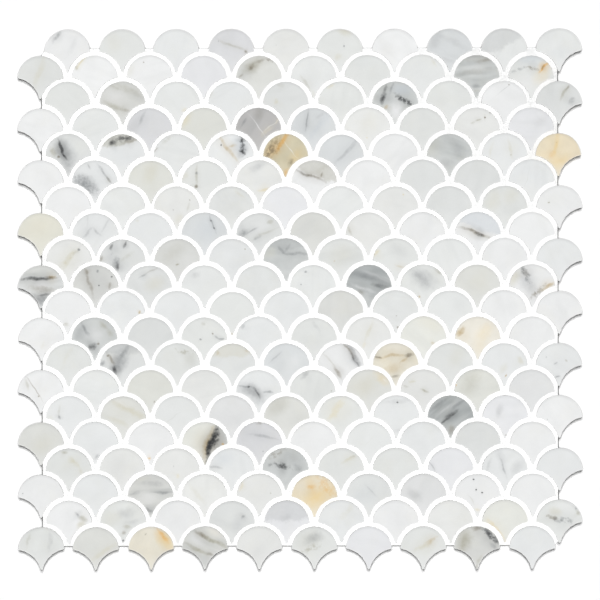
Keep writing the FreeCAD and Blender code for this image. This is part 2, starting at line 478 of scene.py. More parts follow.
    (5, 5, "streak", "olive", 0.3, 0.35, 0.65, 30, 0.9),
    (5, 5, "cap", "olive", 0.42, 0.25, 0.72, -22, 1.0),
    (6, 2, "dash", "olive", 0.3, 0.5, 0.15, 60, 1.2),
    (6, 2, "spot", "umber", 0.5, 0.63, 0.42, 0, 0.7),
    (6, 2, "spot", "umber", 0.4, -0.09, -0.02, 0, 0.7),
    (6, 2, "spot", "umber", 0.4, 0.43, -0.17, 0, 0.7),
    (6, 2, "wash", "sand", 0.5, 0.1, -0.45, 80, 0.5),
    (6, 3, "streak", "sand", 0.5, 0.33, 0.67, -38, 0.6),
    (6, 6, "spot", "gold", 0.8, 0.4, 0.62, 0, 0.8),
    (6, 8, "wash", "sand", 0.35, -0.5, 0.35, 60, 0.8),
    (6, 8, "wash", "sand", 0.35, 0.25, 0.6, 75, 0.7),
    (6, 9, "spot", "olive", 0.8, -0.48, 0.28, 0, 0.9),
    (6, 9, "wash", "cream", 0.4, -0.3, 0.4, 0, 1.0),
    (7, 0, "wash", "amber", 0.2, 0.0, 0.4, 20, 1.0),
    (7, 1, "streak", "grey", 0.9, -0.33, 0.17, 42, 0.65),
    (7, 1, "streak", "grey", 1.0, 0.09, 0.2, -40, 0.6),
    (7, 1, "vein", "grey", 0.5, 0.48, 0.45, 62, 0.7),
    (7, 1, "vein", "grey", 0.35, -0.33, 0.7, 85, 0.6),
    (7, 2, "smudge", "sand", 0.4, -0.53, 0.64, 0, 0.5),
    (7, 3, "spot", "black", 0.6, 0.31, 0.62, 70, 1.0),
    (7, 3, "spot", "black", 0.6, 0.41, 0.27, 70, 1.1),
    (7, 3, "vein", "slate", 0.8, 0.35, 0.5, -73, 0.75),
    (7, 3, "wash", "blue", 0.35, 0.1, 0.2, -70, 1.0),
    (7, 4, "smudge", "slate", 0.9, -0.7, 0.1, 30, 1.1),
    (7, 4, "streak", "slate", 0.65, -0.3, 0.24, 30, 0.55),
    (7, 4, "smudge", "olive", 0.6, 0.5, 0.67, 35, 0.65),
    (7, 4, "vein", "olive", 0.4, 0.3, 0.13, 26, 1.0),
    (7, 4, "dash", "slate", 0.55, -0.07, -0.12, 28, 1.1),
    (7, 4, "wash", "white", 0.35, 0.1, 0.45, 30, 0.8),
    (7, 5, "wash", "grey", 0.15, -0.4, 0.3, 60, 1.0),
    (7, 6, "streak", "olive", 0.5, -0.84, 0.2, -60, 0.6),
    (7, 8, "smudge", "black", 0.7, 0.07, 0.03, -20, 0.7),
    (7, 8, "vein", "umber", 0.9, -0.15, 0.13, -19, 1.3),
    (7, 8, "vein", "olive", 0.4, 0.2, -0.05, -16, 1.0),
    (7, 8, "cap", "blue", 0.6, 0.25, 0.7, -19, 1.1),
    (8, 0, "spot", "slate", 1.0, 0.51, 0.57, 0, 1.4),
    (8, 0, "dash", "olive", 0.4, 0.38, 0.45, 45, 1.2),
    (8, 0, "streak", "sand", 1.2, 0.0, 0.12, 45, 1.4),
    (8, 1, "smudge", "black", 0.8, -0.24, -0.22, 80, 0.7),
    (8, 1, "smudge", "slate", 1.0, -0.28, -0.02, 70, 1.1),
    (8, 1, "dash", "black", 0.8, 0.16, 0.77, 68, 1.0),
    (8, 1, "speckle", "black", 0.7, -0.42, 0.68, 85, 0.55),
    (8, 1, "smudge", "umber", 0.6, -0.92, 0.14, 70, 0.6),
    (8, 1, "streak", "olive", 0.3, 0.15, 0.22, 38, 0.9),
    (8, 1, "cloud", "grey", 0.4, -0.3, 0.45, 30, 1.0),
    (8, 2, "spot", "olive", 0.9, 0.0, -0.08, 0, 1.2),
    (8, 2, "cloud", "olive", 0.22, -0.2, 0.35, 40, 1.0),
    (8, 2, "wash", "white", 0.3, 0.5, 0.1, 60, 0.8),
    (8, 3, "spot", "olive", 0.8, 0.6, 0.57, 0, 0.8),
    (8, 4, "vein", "slate", 0.75, 0.4, 0.34, -6, 1.1),
    (8, 4, "dash", "slate", 0.75, -0.18, 0.52, -42, 1.4),
    (8, 4, "dash", "slate", 0.45, 0.08, 0.58, 50, 1.3),
    (8, 4, "wash", "sand", 0.35, -0.75, 0.35, 20, 0.6),
    (8, 4, "cap", "slate", 0.25, 0.0, 0.95, 0, 0.9),
    (8, 4, "wash", "white", 0.15, 0.2, -0.25, 0, 0.8),
    (8, 5, "wash", "sand", 0.25, 0.0, 0.3, 10, 1.0),
    (8, 5, "spot", "ochre", 0.4, -0.3, 0.04, 0, 0.8),
    (8, 6, "smudge", "gold", 0.7, -0.86, 0.33, 60, 0.8),
    (8, 6, "streak", "ochre", 0.35, 0.22, -0.22, -22, 0.65),
    (8, 6, "cloud", "grey", 0.3, 0.1, 0.5, -25, 1.0),
    (9, 0, "vein", "black", 1.1, -0.12, 0.42, 3, 1.5),
    (9, 0, "dash", "ochre", 1.0, 0.5, 0.48, 6, 1.6),
    (9, 0, "streak", "black", 0.7, 0.25, -0.22, 8, 0.7),
    (9, 0, "streak", "umber", 0.5, 0.1, -0.02, -5, 1.4),
    (9, 0, "wash", "white", 0.9, 0.05, 0.2, 0, 0.45),
    (9, 0, "cloud", "slate", 1.0, 0.05, -0.52, 0, 1.1),
    (9, 0, "cap", "olive", 0.16, 0.0, 0.95, 0, 0.9),
    (9, 1, "vein", "umber", 0.6, -0.3, 0.22, -72, 1.2),
    (9, 1, "smudge", "umber", 0.8, -0.43, 0.7, -65, 0.5),
    (9, 1, "smudge", "umber", 0.6, 0.64, 0.05, 75, 0.6),
    (9, 1, "spot", "black", 1.0, 0.74, 0.5, 0, 0.9),
    (9, 1, "spot", "black", 1.0, 0.14, 0.07, 0, 0.8),
    (9, 1, "spot", "slate", 0.8, 0.07, 0.7, 60, 1.4),
    (9, 1, "wash", "slate", 0.22, 0.0, 0.4, -60, 1.6),
    (9, 2, "streak", "slate", 0.6, -0.26, 0.57, 38, 0.5),
    (9, 2, "vein", "umber", 0.35, 0.12, 0.8, 25, 0.6),
    (9, 2, "wash", "sand", 0.4, 0.3, 0.2, 30, 0.8),
    (9, 3, "smudge", "grey", 0.5, -0.42, 0.56, 8, 0.9),
    (9, 5, "spot", "slate", 0.7, -0.3, 0.7, 60, 1.3),
    (9, 5, "spot", "slate", 0.7, -0.5, 0.13, 0, 0.8),
    (9, 6, "vein", "white", 0.6, -0.25, -0.02, -16, 1.2),
    (9, 6, "vein", "white", 0.35, 0.3, 0.5, -22, 1.1),
    (9, 6, "streak", "black", 0.5, 0.5, 0.08, -8, 0.9),
    (9, 6, "band", "slate", 0.8, 0.0, 0.45, -12, 1.1),
    (9, 6, "smudge", "umber", 0.5, -0.35, -0.2, -20, 0.8),
    (9, 6, "wash", "pale", 0.7, -0.15, -0.4, -15, 0.6),
    (9, 7, "streak", "slate", 0.3, -0.1, 0.38, -43, 1.3),
    (9, 7, "cloud", "grey", 0.9, -0.05, 0.36, -42, 1.2),
    (9, 7, "streak", "grey", 0.4, 0.35, 0.48, -40, 1.2),
    (9, 7, "spot", "ochre", 0.8, -0.24, -0.38, 20, 1.5),
    (9, 7, "dash", "olive", 0.5, 0.62, 0.68, -45, 1.2),
    (9, 8, "wash", "sand", 0.2, 0.1, 0.3, 60, 1.0),
    (9, 9, "speckle", "slate", 1.1, -0.3, 0.56, -65, 0.9),
    (9, 9, "smudge", "umber", 0.6, -0.3, 0.6, -60, 1.0),
    (9, 9, "streak", "ochre", 1.0, 0.68, 0.02, 33, 0.9),
    (9, 9, "speckle", "umber", 0.9, 0.25, -0.25, 42, 0.9),
    (9, 9, "wash", "sand", 0.7, -0.78, 0.42, 55, 0.6),
    (9, 9, "cloud", "grey", 0.7, -0.15, 0.1, -60, 1.1),
    (10, 0, "smudge", "olive", 0.6, -0.08, -0.52, 0, 0.6),
    (10, 1, "smudge", "ochre", 0.9, 0.75, 0.06, 50, 0.38),
    (10, 3, "smudge", "ochre", 0.8, 0.02, -0.83, 0, 0.3),
    (10, 6, "spot", "umber", 0.4, 0.04, -0.14, 0, 0.7),
    (10, 6, "spot", "umber", 1.0, 0.05, -0.64, 60, 1.1),
    (11, 0, "smudge", "sand", 0.3, 0.06, -0.22, 80, 0.8),
    (11, 1, "smudge", "black", 0.85, -0.12, -0.25, 45, 1.05),
    (11, 1, "streak", "slate", 0.9, -0.38, 0.48, -58, 0.75),
    (11, 1, "spot", "umber", 0.8, 0.15, -0.07, 0, 1.4),
    (11, 1, "smudge", "olive", 0.6, 0.36, 0.66, -35, 0.9),
    (11, 1, "smudge", "olive", 0.45, 0.68, 0.38, -50, 0.9),
    (11, 1, "cloud", "slate", 0.4, -0.65, 0.25, 70, 0.8),
    (11, 1, "wash", "white", 0.5, 0.1, 0.25, 0, 0.8),
    (11, 3, "spot", "umber", 0.9, 0.39, 0.28, 0, 1.0),
    (11, 3, "dash", "slate", 0.6, 0.55, 0.13, -45, 0.9),
    (11, 3, "dash", "slate", 0.8, 0.72, 0.03, -8, 0.8),
    (11, 3, "spot", "slate", 0.8, -0.19, 0.0, -35, 1.2),
    (11, 3, "smudge", "olive", 0.4, -0.03, 0.75, -40, 0.5),
    (11, 4, "smudge", "slate", 0.5, -0.65, 0.58, 60, 0.6),
    (11, 5, "streak", "grey", 0.4, 0.08, 0.65, -60, 0.9),
    (11, 6, "streak", "sand", 0.7, 0.05, 0.35, 70, 1.0),
    (11, 6, "smudge", "gold", 0.35, -0.15, -0.2, 60, 0.7),
    (11, 7, "smudge", "ochre", 0.4, 0.4, -0.18, 10, 0.5),
    (11, 7, "wash", "gold", 0.15, 0.3, 0.75, -20, 1.0),
    (11, 8, "smudge", "ochre", 0.9, -0.8, 0.35, 50, 1.0),
    (11, 8, "cloud", "honey", 0.3, 0.3, 0.35, 35, 0.9),
    (11, 8, "wash", "honey", 0.2, 0.1, -0.3, 75, 0.8),
    (12, 0, "band", "sand", 0.25, -0.05, 0.4, 60, 0.8),
    (12, 1, "smudge", "black", 1.0, -0.33, -0.12, 85, 0.75),
    (12, 1, "streak", "umber", 0.8, -0.5, 0.37, -52, 0.75),
    (12, 1, "spot", "umber", 0.8, -0.66, 0.52, 0, 1.5),
    (12, 1, "streak", "slate", 0.7, 0.1, 0.62, 58, 1.0),
    (12, 1, "smudge", "slate", 0.8, -0.88, 0.16, 60, 0.6),
    (12, 1, "cloud", "slate", 0.9, -0.15, 0.1, 65, 1.1),
    (12, 1, "cap", "slate", 0.25, 0.0, 1.0, 0, 0.9),
    (12, 2, "speckle", "olive", 0.7, 0.3, 0.6, -12, 0.7),
    (12, 2, "wash", "olive", 0.2, 0.6, 0.3, 75, 0.7),
    (12, 3, "smudge", "ochre", 0.6, -0.7, 0.6, 50, 0.4),
    (12, 3, "dash", "ochre", 0.35, 0.62, 0.7, -45, 0.8),
    (12, 3, "cap", "sand", 0.48, 0.0, 0.87, 2, 1.0),
    (12, 4, "vein", "slate", 0.4, -0.46, 0.38, 44, 0.7),
    (12, 4, "wash", "grey", 0.15, -0.3, 0.05, 60, 0.7),
    (12, 4, "wash", "bright", 0.5, 0.3, 0.2, 55, 0.8),
    (12, 5, "vein", "black", 0.6, 0.55, 0.3, -55, 0.7),
    (12, 5, "vein", "umber", 0.8, 0.3, 0.68, -55, 0.8),
    (12, 5, "band", "slate", 0.75, 0.52, 0.45, -60, 0.9),
    (12, 5, "streak", "umber", 0.8, -0.14, -0.25, -55, 0.75),
    (12, 5, "vein", "olive", 0.3, -0.48, 0.27, -45, 0.8),
    (12, 6, "dash", "umber", 1.0, -0.76, 0.42, -5, 0.9),
    (12, 6, "dash", "umber", 0.9, 0.62, 0.48, 3, 1.4),
    (12, 6, "vein", "ochre", 0.7, -0.15, 0.44, 5, 1.2),
    (12, 6, "streak", "ochre", 0.8, 0.36, 0.28, 45, 0.55),
    (12, 6, "dash", "umber", 0.7, -0.02, -0.43, 5, 1.2),
    (12, 6, "cloud", "ochre", 0.45, -0.15, -0.1, 10, 0.8),
    (12, 6, "cloud", "straw", 0.6, 0.0, 0.85, 0, 0.9),
    (12, 7, "wash", "sand", 0.25, 0.3, 0.5, 60, 0.9),
    (12, 8, "spot", "ochre", 1.0, 0.12, -0.4, 0, 1.1),
    (12, 8, "smudge", "sand", 0.6, 0.68, 0.24, -50, 0.8),
    (12, 8, "wash", "sand", 0.4, -0.05, -0.1, 40, 0.4),
    (12, 9, "dash", "slate", 0.6, -0.12, 0.1, 30, 0.6),
    (12, 9, "dash", "slate", 0.7, -0.05, -0.5, 25, 1.0),
    (12, 9, "spot", "slate", 0.4, -0.5, 0.44, 0, 0.9),
    (12, 9, "spot", "olive", 0.4, 0.35, 0.23, 30, 1.4),
    (13, 0, "hair", "umber", 0.45, -0.3, 0.2, -55, 1.2),
    (13, 0, "spot", "umber", 0.6, -0.14, -0.13, -55, 1.2),
    (13, 0, "streak", "olive", 0.45, -0.6, 0.35, -76, 0.6),
    (13, 2, "spot", "umber", 0.5, 0.17, -0.35, 60, 1.0),
    (13, 4, "spot", "black", 0.6, -0.38, 0.24, 0, 1.3),
    (13, 4, "vein", "slate", 0.8, -0.5, 0.28, -14, 0.8),
    (13, 4, "streak", "black", 0.75, -0.06, 0.0, -58, 0.6),
    (13, 4, "dash", "slate", 0.7, 0.42, 0.03, 4, 1.2),
    (13, 4, "cloud", "slate", 0.5, -0.15, -0.05, -45, 1.1),
    (13, 4, "cloud", "slate", 0.35, -0.5, 0.1, -10, 0.8),
    (13, 5, "smudge", "slate", 0.5, -0.34, 0.8, 40, 0.9),
    (13, 5, "spot", "umber", 0.4, 0.84, 0.04, 0, 0.9),
    (13, 6, "dash", "white", 0.6, 0.7, 0.5, -42, 0.9),
    (13, 6, "cloud", "honey", 0.5, 0.6, 0.58, -40, 0.8),
    (13, 6, "wash", "sand", 0.5, -0.2, 0.3, 30, 1.1),
    (13, 7, "dash", "sand", 0.9, -0.46, 0.46, 6, 0.9),
    (13, 7, "dash", "olive", 0.4, -0.72, 0.3, -12, 0.9),
    (13, 7, "dash", "olive", 0.8, 0.05, 0.1, -14, 1.1),
    (13, 8, "spot", "rust", 0.9, -0.9, 0.3, 0, 0.9),
    (13, 8, "cloud", "olive", 0.3, -0.3, 0.4, 60, 1.2),
    (14, 0, "smudge", "slate", 0.75, -0.4, 0.09, 80, 0.45),
    (14, 0, "streak", "olive", 0.3, -0.4, 0.35, 86, 0.7),
    (14, 0, "smudge", "cream", 0.8, -0.85, 0.05, 20, 1.0),
    (14, 1, "vein", "white", 0.5, -0.05, 0.72, -28, 1.0),
    (14, 1, "band", "sand", 1.0, 0.25, 0.45, -28, 1.1),
    (14, 1, "band", "sand", 0.5, -0.2, -0.1, -28, 0.8),
    (14, 4, "wash", "olive", 0.3, -0.4, 0.65, 40, 1.0),
    (14, 5, "streak", "gold", 0.6, -0.18, 0.42, 56, 1.6),
    (14, 6, "spot", "black", 1.0, 0.03, 0.73, 0, 0.8),
    (14, 6, "band", "grey", 0.4, 0.05, 0.75, 6, 0.7),
    (14, 6, "streak", "grey", 0.4, 0.05, -0.52, 10, 0.7),
    (14, 7, "streak", "black", 0.8, 0.0, 0.18, 32, 0.8),
    (14, 7, "vein", "black", 0.7, -0.2, -0.05, 38, 0.9),
    (14, 7, "vein", "white", 0.4, -0.4, 0.3, 42, 1.2),
    (14, 7, "band", "slate", 0.8, -0.5, 0.6, 42, 0.6),
    (14, 7, "streak", "slate", 0.8, 0.3, 0.6, 36, 0.9),
    (14, 7, "smudge", "umber", 0.6, 0.05, -0.5, 80, 0.9),
    (14, 8, "cloud", "grey", 0.6, -0.25, 0.35, 82, 0.55),
    (14, 8, "spot", "umber", 0.5, 0.0, -0.74, 70, 1.0),
    (14, 9, "spot", "slate", 0.4, -0.5, -0.03, 0, 0.8),
    (15, 0, "wash", "sand", 0.3, 0.1, 0.0, 30, 1.0),
    (15, 1, "smudge", "slate", 0.5, 0.06, -0.5, 60, 0.7),
    (15, 2, "smudge", "rust", 0.7, -0.12, -0.55, 0, 0.4),
    (15, 3, "band", "black", 1.8, 0.31, 0.0, 71, 0.95),
    (15, 3, "speckle", "black", 1.0, 0.5, 0.2, 70, 0.9),
    (15, 3, "streak", "ochre", 1.0, 0.16, -0.02, 72, 1.8),
    (15, 3, "spot", "rust", 0.7, 0.79, 0.04, 0, 1.2),
    (15, 3, "cap", "grey", 0.8, 0.87, 0.2, 70, 1.0),
    (15, 4, "vein", "slate", 0.5, 0.2, 0.34, -9, 1.1),
    (15, 4, "smudge", "umber", 0.4, 0.0, 0.93, 0, 0.7),
    (15, 4, "spot", "slate", 0.5, 0.18, -0.3, 0, 0.9),
    (15, 4, "wash", "grey", 0.2, -0.3, 0.5, 0, 0.9),
    (16, 0, "smudge", "olive", 0.7, -0.15, 0.83, -15, 0.6),
    (16, 0, "smudge", "sand", 1.0, 0.2, 0.42, -50, 1.0),
    (16, 0, "streak", "sand", 0.5, 0.5, 0.1, -60, 0.8),
    (16, 2, "smudge", "gold", 0.5, 0.08, -0.15, 60, 0.5),
    (16, 2, "spot", "slate", 0.3, -0.1, 0.22, 0, 0.7),
    (16, 3, "streak", "slate", 0.55, -0.72, 0.18, -14, 0.65),
    (16, 3, "wash", "blue", 0.35, -0.4, 0.55, 20, 0.8),
    (16, 4, "smudge", "black", 0.8, -0.15, 0.17, -6, 0.9),
    (16, 4, "speckle", "black", 0.7, -0.2, 0.2, -10, 0.9),
    (16, 4, "smudge", "slate", 0.7, 0.55, 0.1, -45, 1.0),
    (16, 4, "speckle", "umber", 0.6, -0.4, 0.72, 30, 0.8),
    (16, 4, "cloud", "slate", 0.3, 0.3, 0.6, -30, 0.9),
    (16, 4, "wash", "ice", 0.6, -0.5, 0.0, 60, 0.6),
    (16, 5, "smudge", "olive", 0.4, 0.52, 0.62, 20, 0.45),
    (16, 5, "streak", "sand", 0.9, 0.33, 0.5, 25, 0.9),
    (16, 7, "vein", "slate", 0.5, -0.8, 0.2, -58, 0.6),
    (16, 8, "vein", "slate", 0.6, -0.08, 0.12, -70, 0.8),
    (16, 8, "streak", "grey", 0.6, -0.7, 0.2, 72, 0.7),
    (16, 8, "cloud", "grey", 0.4, 0.5, 0.12, 60, 0.7),
    (16, 8, "cloud", "grey", 0.35, -0.2, 0.6, -60, 0.7),
    (17, 0, "spot", "slate", 0.5, -0.76, 0.17, 0, 0.8),
    (17, 2, "band", "slate", 0.9, 0.5, 0.25, -2, 0.5),
    (17, 2, "streak", "slate", 0.5, -0.7, 0.2, 8, 0.7),
    (17, 2, "streak", "slate", 0.4, 0.1, 0.62, 8, 1.2),
    (17, 2, "streak", "black", 0.5, -0.05, -0.55, -30, 0.6),
    (17, 2, "streak", "sand", 0.4, -0.3, 0.8, 5, 0.9),
    (17, 2, "wash", "white", 0.4, -0.1, 0.0, 0, 0.6),
    (17, 3, "streak", "sand", 0.4, -0.3, 0.12, -58, 1.2),
    (17, 4, "streak", "gold", 0.6, -0.78, 0.44, 62, 0.6),
    (17, 4, "spot", "olive", 0.4, 0.54, 0.14, 0, 0.9),
    (17, 5, "smudge", "rust", 0.6, -0.12, 0.45, 20, 0.9),
    (17, 5, "speckle", "rust", 0.4, 0.5, 0.55, -50, 1.4),
    (17, 5, "wash", "cream", 0.6, 0.3, 0.85, 0, 0.6),
    (17, 5, "wash", "dove", 0.4, -0.6, 0.5, 60, 0.6),
    (17, 5, "cloud", "honey", 0.8, 0.1, 0.0, 30, 1.3),
    (17, 6, "vein", "slate", 0.3, 0.05, 0.27, -45, 0.6),
    (17, 6, "wash", "blue", 0.25, -0.2, 0.0, 40, 1.0),
    (17, 7, "cloud", "slate", 0.3, -0.4, 0.05, -45, 0.8),
    (17, 8, "spot", "black", 1.1, -0.16, 0.75, 0, 0.8),
    (17, 8, "spot", "black", 1.1, -0.07, 0.3, 0, 0.8),
    (17, 8, "spot", "black", 1.1, 0.18, 0.17, 0, 0.85),
    (17, 8, "smudge", "gold", 0.6, 0.0, -0.55, 10, 0.55),
    (17, 8, "vein", "olive", 0.25, -0.25, -0.15, -60, 0.5),
    (18, 0, "smudge", "slate", 1.0, 0.36, 0.36, -45, 0.6),
    (18, 0, "smudge", "olive", 0.8, 0.62, 0.22, -15, 0.9),
    (18, 0, "wash", "sand", 0.7, 0.55, -0.05, 40, 0.35),
    (18, 1, "cloud", "slate", 0.3, 0.12, 0.46, 12, 0.8),
    (18, 1, "smudge", "olive", 0.6, 0.14, -0.17, 10, 0.7),
    (18, 1, "smudge", "umber", 0.6, 0.0, -0.42, -40, 0.5),
    (18, 1, "spot", "black", 0.9, -0.03, -0.75, 0, 1.3),
    (18, 1, "streak", "grey", 0.4, 0.45, 0.1, 15, 0.9),
    (18, 1, "wash", "sand", 0.3, -0.5, 0.2, 20, 0.8),
    (18, 3, "smudge", "slate", 0.9, 0.5, 0.3, 42, 0.45),
    (18, 3, "wash", "grey", 0.35, 0.3, 0.1, 60, 0.7),
    (18, 4, "smudge", "grey", 0.4, -0.05, 0.25, 10, 1.0),
    (18, 4, "cap", "grey", 0.5, 0.0, 0.62, 5, 1.1),
    (18, 5, "streak", "sand", 0.4, 0.27, 0.5, 52, 1.3),
    (18, 8, "band", "honey", 0.7, -0.35, -0.36, -52, 0.8),
    (18, 9, "speckle", "slate", 1.0, 0.15, 0.1, -10, 0.9),
    (18, 9, "speckle", "umber", 0.8, -0.3, 0.25, -12, 0.6),
    (18, 9, "smudge", "slate", 0.8, 0.7, 0.65, 60, 0.4),
    (18, 9, "smudge", "olive", 0.8, 0.78, 0.42, -50, 0.6),
    (18, 9, "wash", "sand", 0.5, -0.15, 0.5, 0, 0.4),
    (18, 9, "wash", "white", 0.5, 0.2, 0.7, 0, 0.7),
    (19, 0, "streak", "grey", 0.6, 0.35, 0.35, 82, 1.1),
    (19, 0, "streak", "olive", 0.35, -0.58, 0.4, 80, 0.8),
    (19, 1, "band", "sand", 0.8, 0.3, -0.1, 36, 0.8),
    (19, 2, "streak", "rust", 0.8, 0.52, 0.62, -50, 0.9),
    (19, 2, "cloud", "honey", 0.8, 0.65, 0.35, -50, 1.0),
    (19, 2, "spot", "olive", 0.6, -0.27, 0.68, 45, 1.1),
    (19, 2, "wash", "straw", 0.5, -0.1, 0.8, 0, 0.6),
    (19, 3, "streak", "umber", 0.8, -0.1, 0.62, -38, 0.8),
    (19, 3, "band", "olive", 1.0, 0.35, 0.38, -26, 0.7),
    (19, 3, "band", "olive", 0.9, -0.35, 0.0, -30, 0.6),
    (19, 3, "dash", "umber", 0.6, 0.2, -0.24, -10, 1.3),
    (19, 3, "wash", "straw", 0.8, 0.45, 0.8, -25, 0.6),
    (19, 3, "wash", "lavender", 0.7, -0.35, 0.42, -27, 0.6),
    (19, 5, "speckle", "olive", 0.6, -0.15, 0.05, 20, 0.9),
    (19, 5, "cloud", "slate", 0.5, 0.0, 0.5, 20, 0.75),
    (19, 5, "wash", "olive", 0.2, -0.3, 0.5, 20, 0.9),
    (19, 7, "streak", "ochre", 0.55, 0.35, 0.4, 38, 0.8),
    (19, 7, "streak", "sand", 0.9, 0.0, 0.15, 30, 1.2),
    (19, 8, "speckle", "black", 0.9, 0.62, 0.6, -45, 1.0),
    (19, 8, "band", "slate", 0.9, 0.5, 0.7, -40, 0.7),
    (19, 8, "smudge", "umber", 0.8, 0.0, 0.93, 0, 0.9),
    (19, 8, "smudge", "slate", 0.6, 0.7, 0.15, -40, 0.8),
    (19, 8, "smudge", "olive", 0.5, 0.1, -0.5, 60, 0.8),
    (19, 8, "smudge", "umber", 0.5, 0.0, -0.78, 90, 0.4),
    (19, 8, "cloud", "olive", 0.8, -0.55, 0.35, 70, 1.0),
)


def linear(shown):
    """A colour as light, from how it shows on a screen."""
    return tuple(c / 12.92 if c <= 0.04045 else ((c + 0.055) / 1.055) ** 2.4 for c in shown)


def stone_at(row, place):
    for name, places in STONES.items():
        if (row, place) in places:
            return name
    return None


# Node building


def add_node(tree, kind, inputs=None, **settings):
    """A node with its settings, and its inputs given by name or number."""
    made = tree.nodes.new(kind)
    for name, value in settings.items():
        setattr(made, name, value)
    for key, value in (inputs or {}).items():
        if isinstance(value, bpy.types.NodeSocket):
            tree.links.new(value, made.inputs[key])
        else:
            made.inputs[key].default_value = value
    return made


def calculate(tree, operation, first, second=0.0, third=0.0, clamp=False):
    inputs = {0: first, 1: second, 2: third}
    made = add_node(tree, "ShaderNodeMath", inputs, operation=operation, use_clamp=clamp)
    return made.outputs[0]


def hypotenuse(tree, first, second):
    square = calculate(tree, "MULTIPLY", first, first)
    return calculate(tree, "SQRT", calculate(tree, "MULTIPLY_ADD", second, second, square))


def combine(tree, operation, first, second):
    """The sum, difference or product of two vectors."""
    made = add_node(tree, "ShaderNodeVectorMath", {0: first, 1: second}, operation=operation)
    return made.outputs[0]


def scaled(tree, vector, factor):
    inputs = {0: vector, "Scale": factor}
    return add_node(tree, "ShaderNodeVectorMath", inputs, operation="SCALE").outputs[0]


def split_vector(tree, vector):
    return add_node(tree, "ShaderNodeSeparateXYZ", {0: vector}).outputs


def channel(tree, tint, number):
    return add_node(tree, "ShaderNodeSeparateColor", {0: tint}).outputs[number]


def mix_colour(tree, factor, first, second, mode="MIX"):
    made = add_node(
        tree, "ShaderNodeMix", {0: factor, 6: first, 7: second}, data_type="RGBA", blend_type=mode
    )
    return made.outputs[2]


def ease(tree, value, start, end, low=0.0, high=1.0):
    """From low to high as the value goes from start to end, smoothly."""
    inputs = {"Value": value, "From Min": start, "From Max": end, "To Min": low, "To Max": high}
    made = add_node(tree, "ShaderNodeMapRange", inputs, interpolation_type="SMOOTHSTEP")
    return made.outputs["Result"]


def noise(tree, place, scale, detail=2.0, roughness=0.5):
    inputs = {"Vector": place, "Scale": scale, "Detail": detail, "Roughness": roughness}
    return add_node(tree, "ShaderNodeTexNoise", inputs)


def attribute(tree, name):
    return add_node(tree, "ShaderNodeAttribute", attribute_name=name).outputs


SOCKETS = {
    "value": "NodeSocketFloat",
    "colour": "NodeSocketColor",
    "vector": "NodeSocketVector",
}


def new_group(name, inputs, outputs):
    """An empty node group with named sockets, and its input and output nodes."""
    group = bpy.data.node_groups.new(name, "ShaderNodeTree")
    for label, kind in inputs:
        group.interface.new_socket(label, in_out="INPUT", socket_type=SOCKETS[kind])
    for label, kind in outputs:
        group.interface.new_socket(label, in_out="OUTPUT", socket_type=SOCKETS[kind])
    given = group.nodes.new("NodeGroupInput").outputs
    return group, given, group.nodes.new("NodeGroupOutput").inputs


def place_group(tree, group, inputs=None):
    return add_node(tree, "ShaderNodeGroup", inputs, node_tree=group).outputs


def add_bump(tree, shader, height, strength, distance):
    inputs = {"Height": height, "Strength": strength, "Distance": distance}
    bump = add_node(tree, "ShaderNodeBump", inputs)
    tree.links.new(bump.outputs[0], shader.inputs["Normal"])


def stone_mark_group():
    """One vein, smudge or stain: a patchy core with a soft edge, in a wide faint haze."""
    group, given, result = new_group(
        "stone mark",
        [
            ("Colour", "colour"),
            ("On Face", "vector"),
            ("Ragged", "vector"),
            ("Fray", "value"),
            ("Patches", "value"),
            ("Place", "vector"),
            ("Haze", "value"),
            ("Form", "vector"),
            ("Break", "value"),
            ("Tint", "colour"),
            ("Strength", "value"),
        ],
        [("Colour", "colour")],
    )
    moved = combine(group, "SUBTRACT", given["On Face"], given["Place"])
    moved = combine(group, "ADD", moved, given["Ragged"])
    split = split_vector(group, moved)
    depth = split_vector(group, given["On Face"])[2]
    turn = split_vector(group, given["Place"])[2]
    half_length, half_width, softness = split_vector(group, given["Form"])
    # A mark goes down into the stone aslant
    across = calculate(group, "MULTIPLY_ADD", depth, 0.35, split[0])
    up = calculate(group, "MULTIPLY_ADD", depth, -0.2, split[1])
    cosine, sine = calculate(group, "COSINE", turn), calculate(group, "SINE", turn)
    along = calculate(group, "MULTIPLY", across, cosine)
    along = calculate(group, "MULTIPLY_ADD", up, sine, along)
    aside = calculate(group, "MULTIPLY", across, sine)
    aside = calculate(group, "SUBTRACT", calculate(group, "MULTIPLY", up, cosine), aside)
    reach = calculate(group, "DIVIDE", along, half_length)
    reach = calculate(group, "MULTIPLY", reach, reach)
    spread = calculate(group, "DIVIDE", aside, half_width)
    near = calculate(group, "SQRT", calculate(group, "MULTIPLY_ADD", spread, spread, reach))
    fray = calculate(group, "MULTIPLY_ADD", given["Break"], 1.6, 0.3)
    near = calculate(group, "MULTIPLY_ADD", given["Fray"], fray, near)
    inner = calculate(group, "SUBTRACT", 1.0, softness)
    outer = calculate(group, "MULTIPLY_ADD", softness, 0.6, 1.0)
    core = ease(group, near, inner, outer, low=1.0, high=0.0)
    gaps = calculate(group, "MULTIPLY", given["Patches"], given["Break"], clamp=True)
    core = calculate(group, "MULTIPLY", core, calculate(group, "SUBTRACT", 1.0, gaps))
    # The haze is four times as wide as the core, and a little longer
    wide = calculate(group, "MULTIPLY", spread, 0.25)
    wide = calculate(group, "MULTIPLY_ADD", wide, wide, calculate(group, "MULTIPLY", reach, 0.5))
    haze = ease(group, calculate(group, "SQRT", wide), 0.0, 1.2, low=1.0, high=0.0)
    haze = calculate(group, "MULTIPLY", haze, given["Haze"])
    cover = calculate(group, "MAXIMUM", core, haze)
    cover = calculate(group, "MULTIPLY", cover, given["Strength"], clamp=True)
    shown = mix_colour(group, cover, given["Colour"], given["Tint"])
    group.links.new(shown, result["Colour"])
    return group


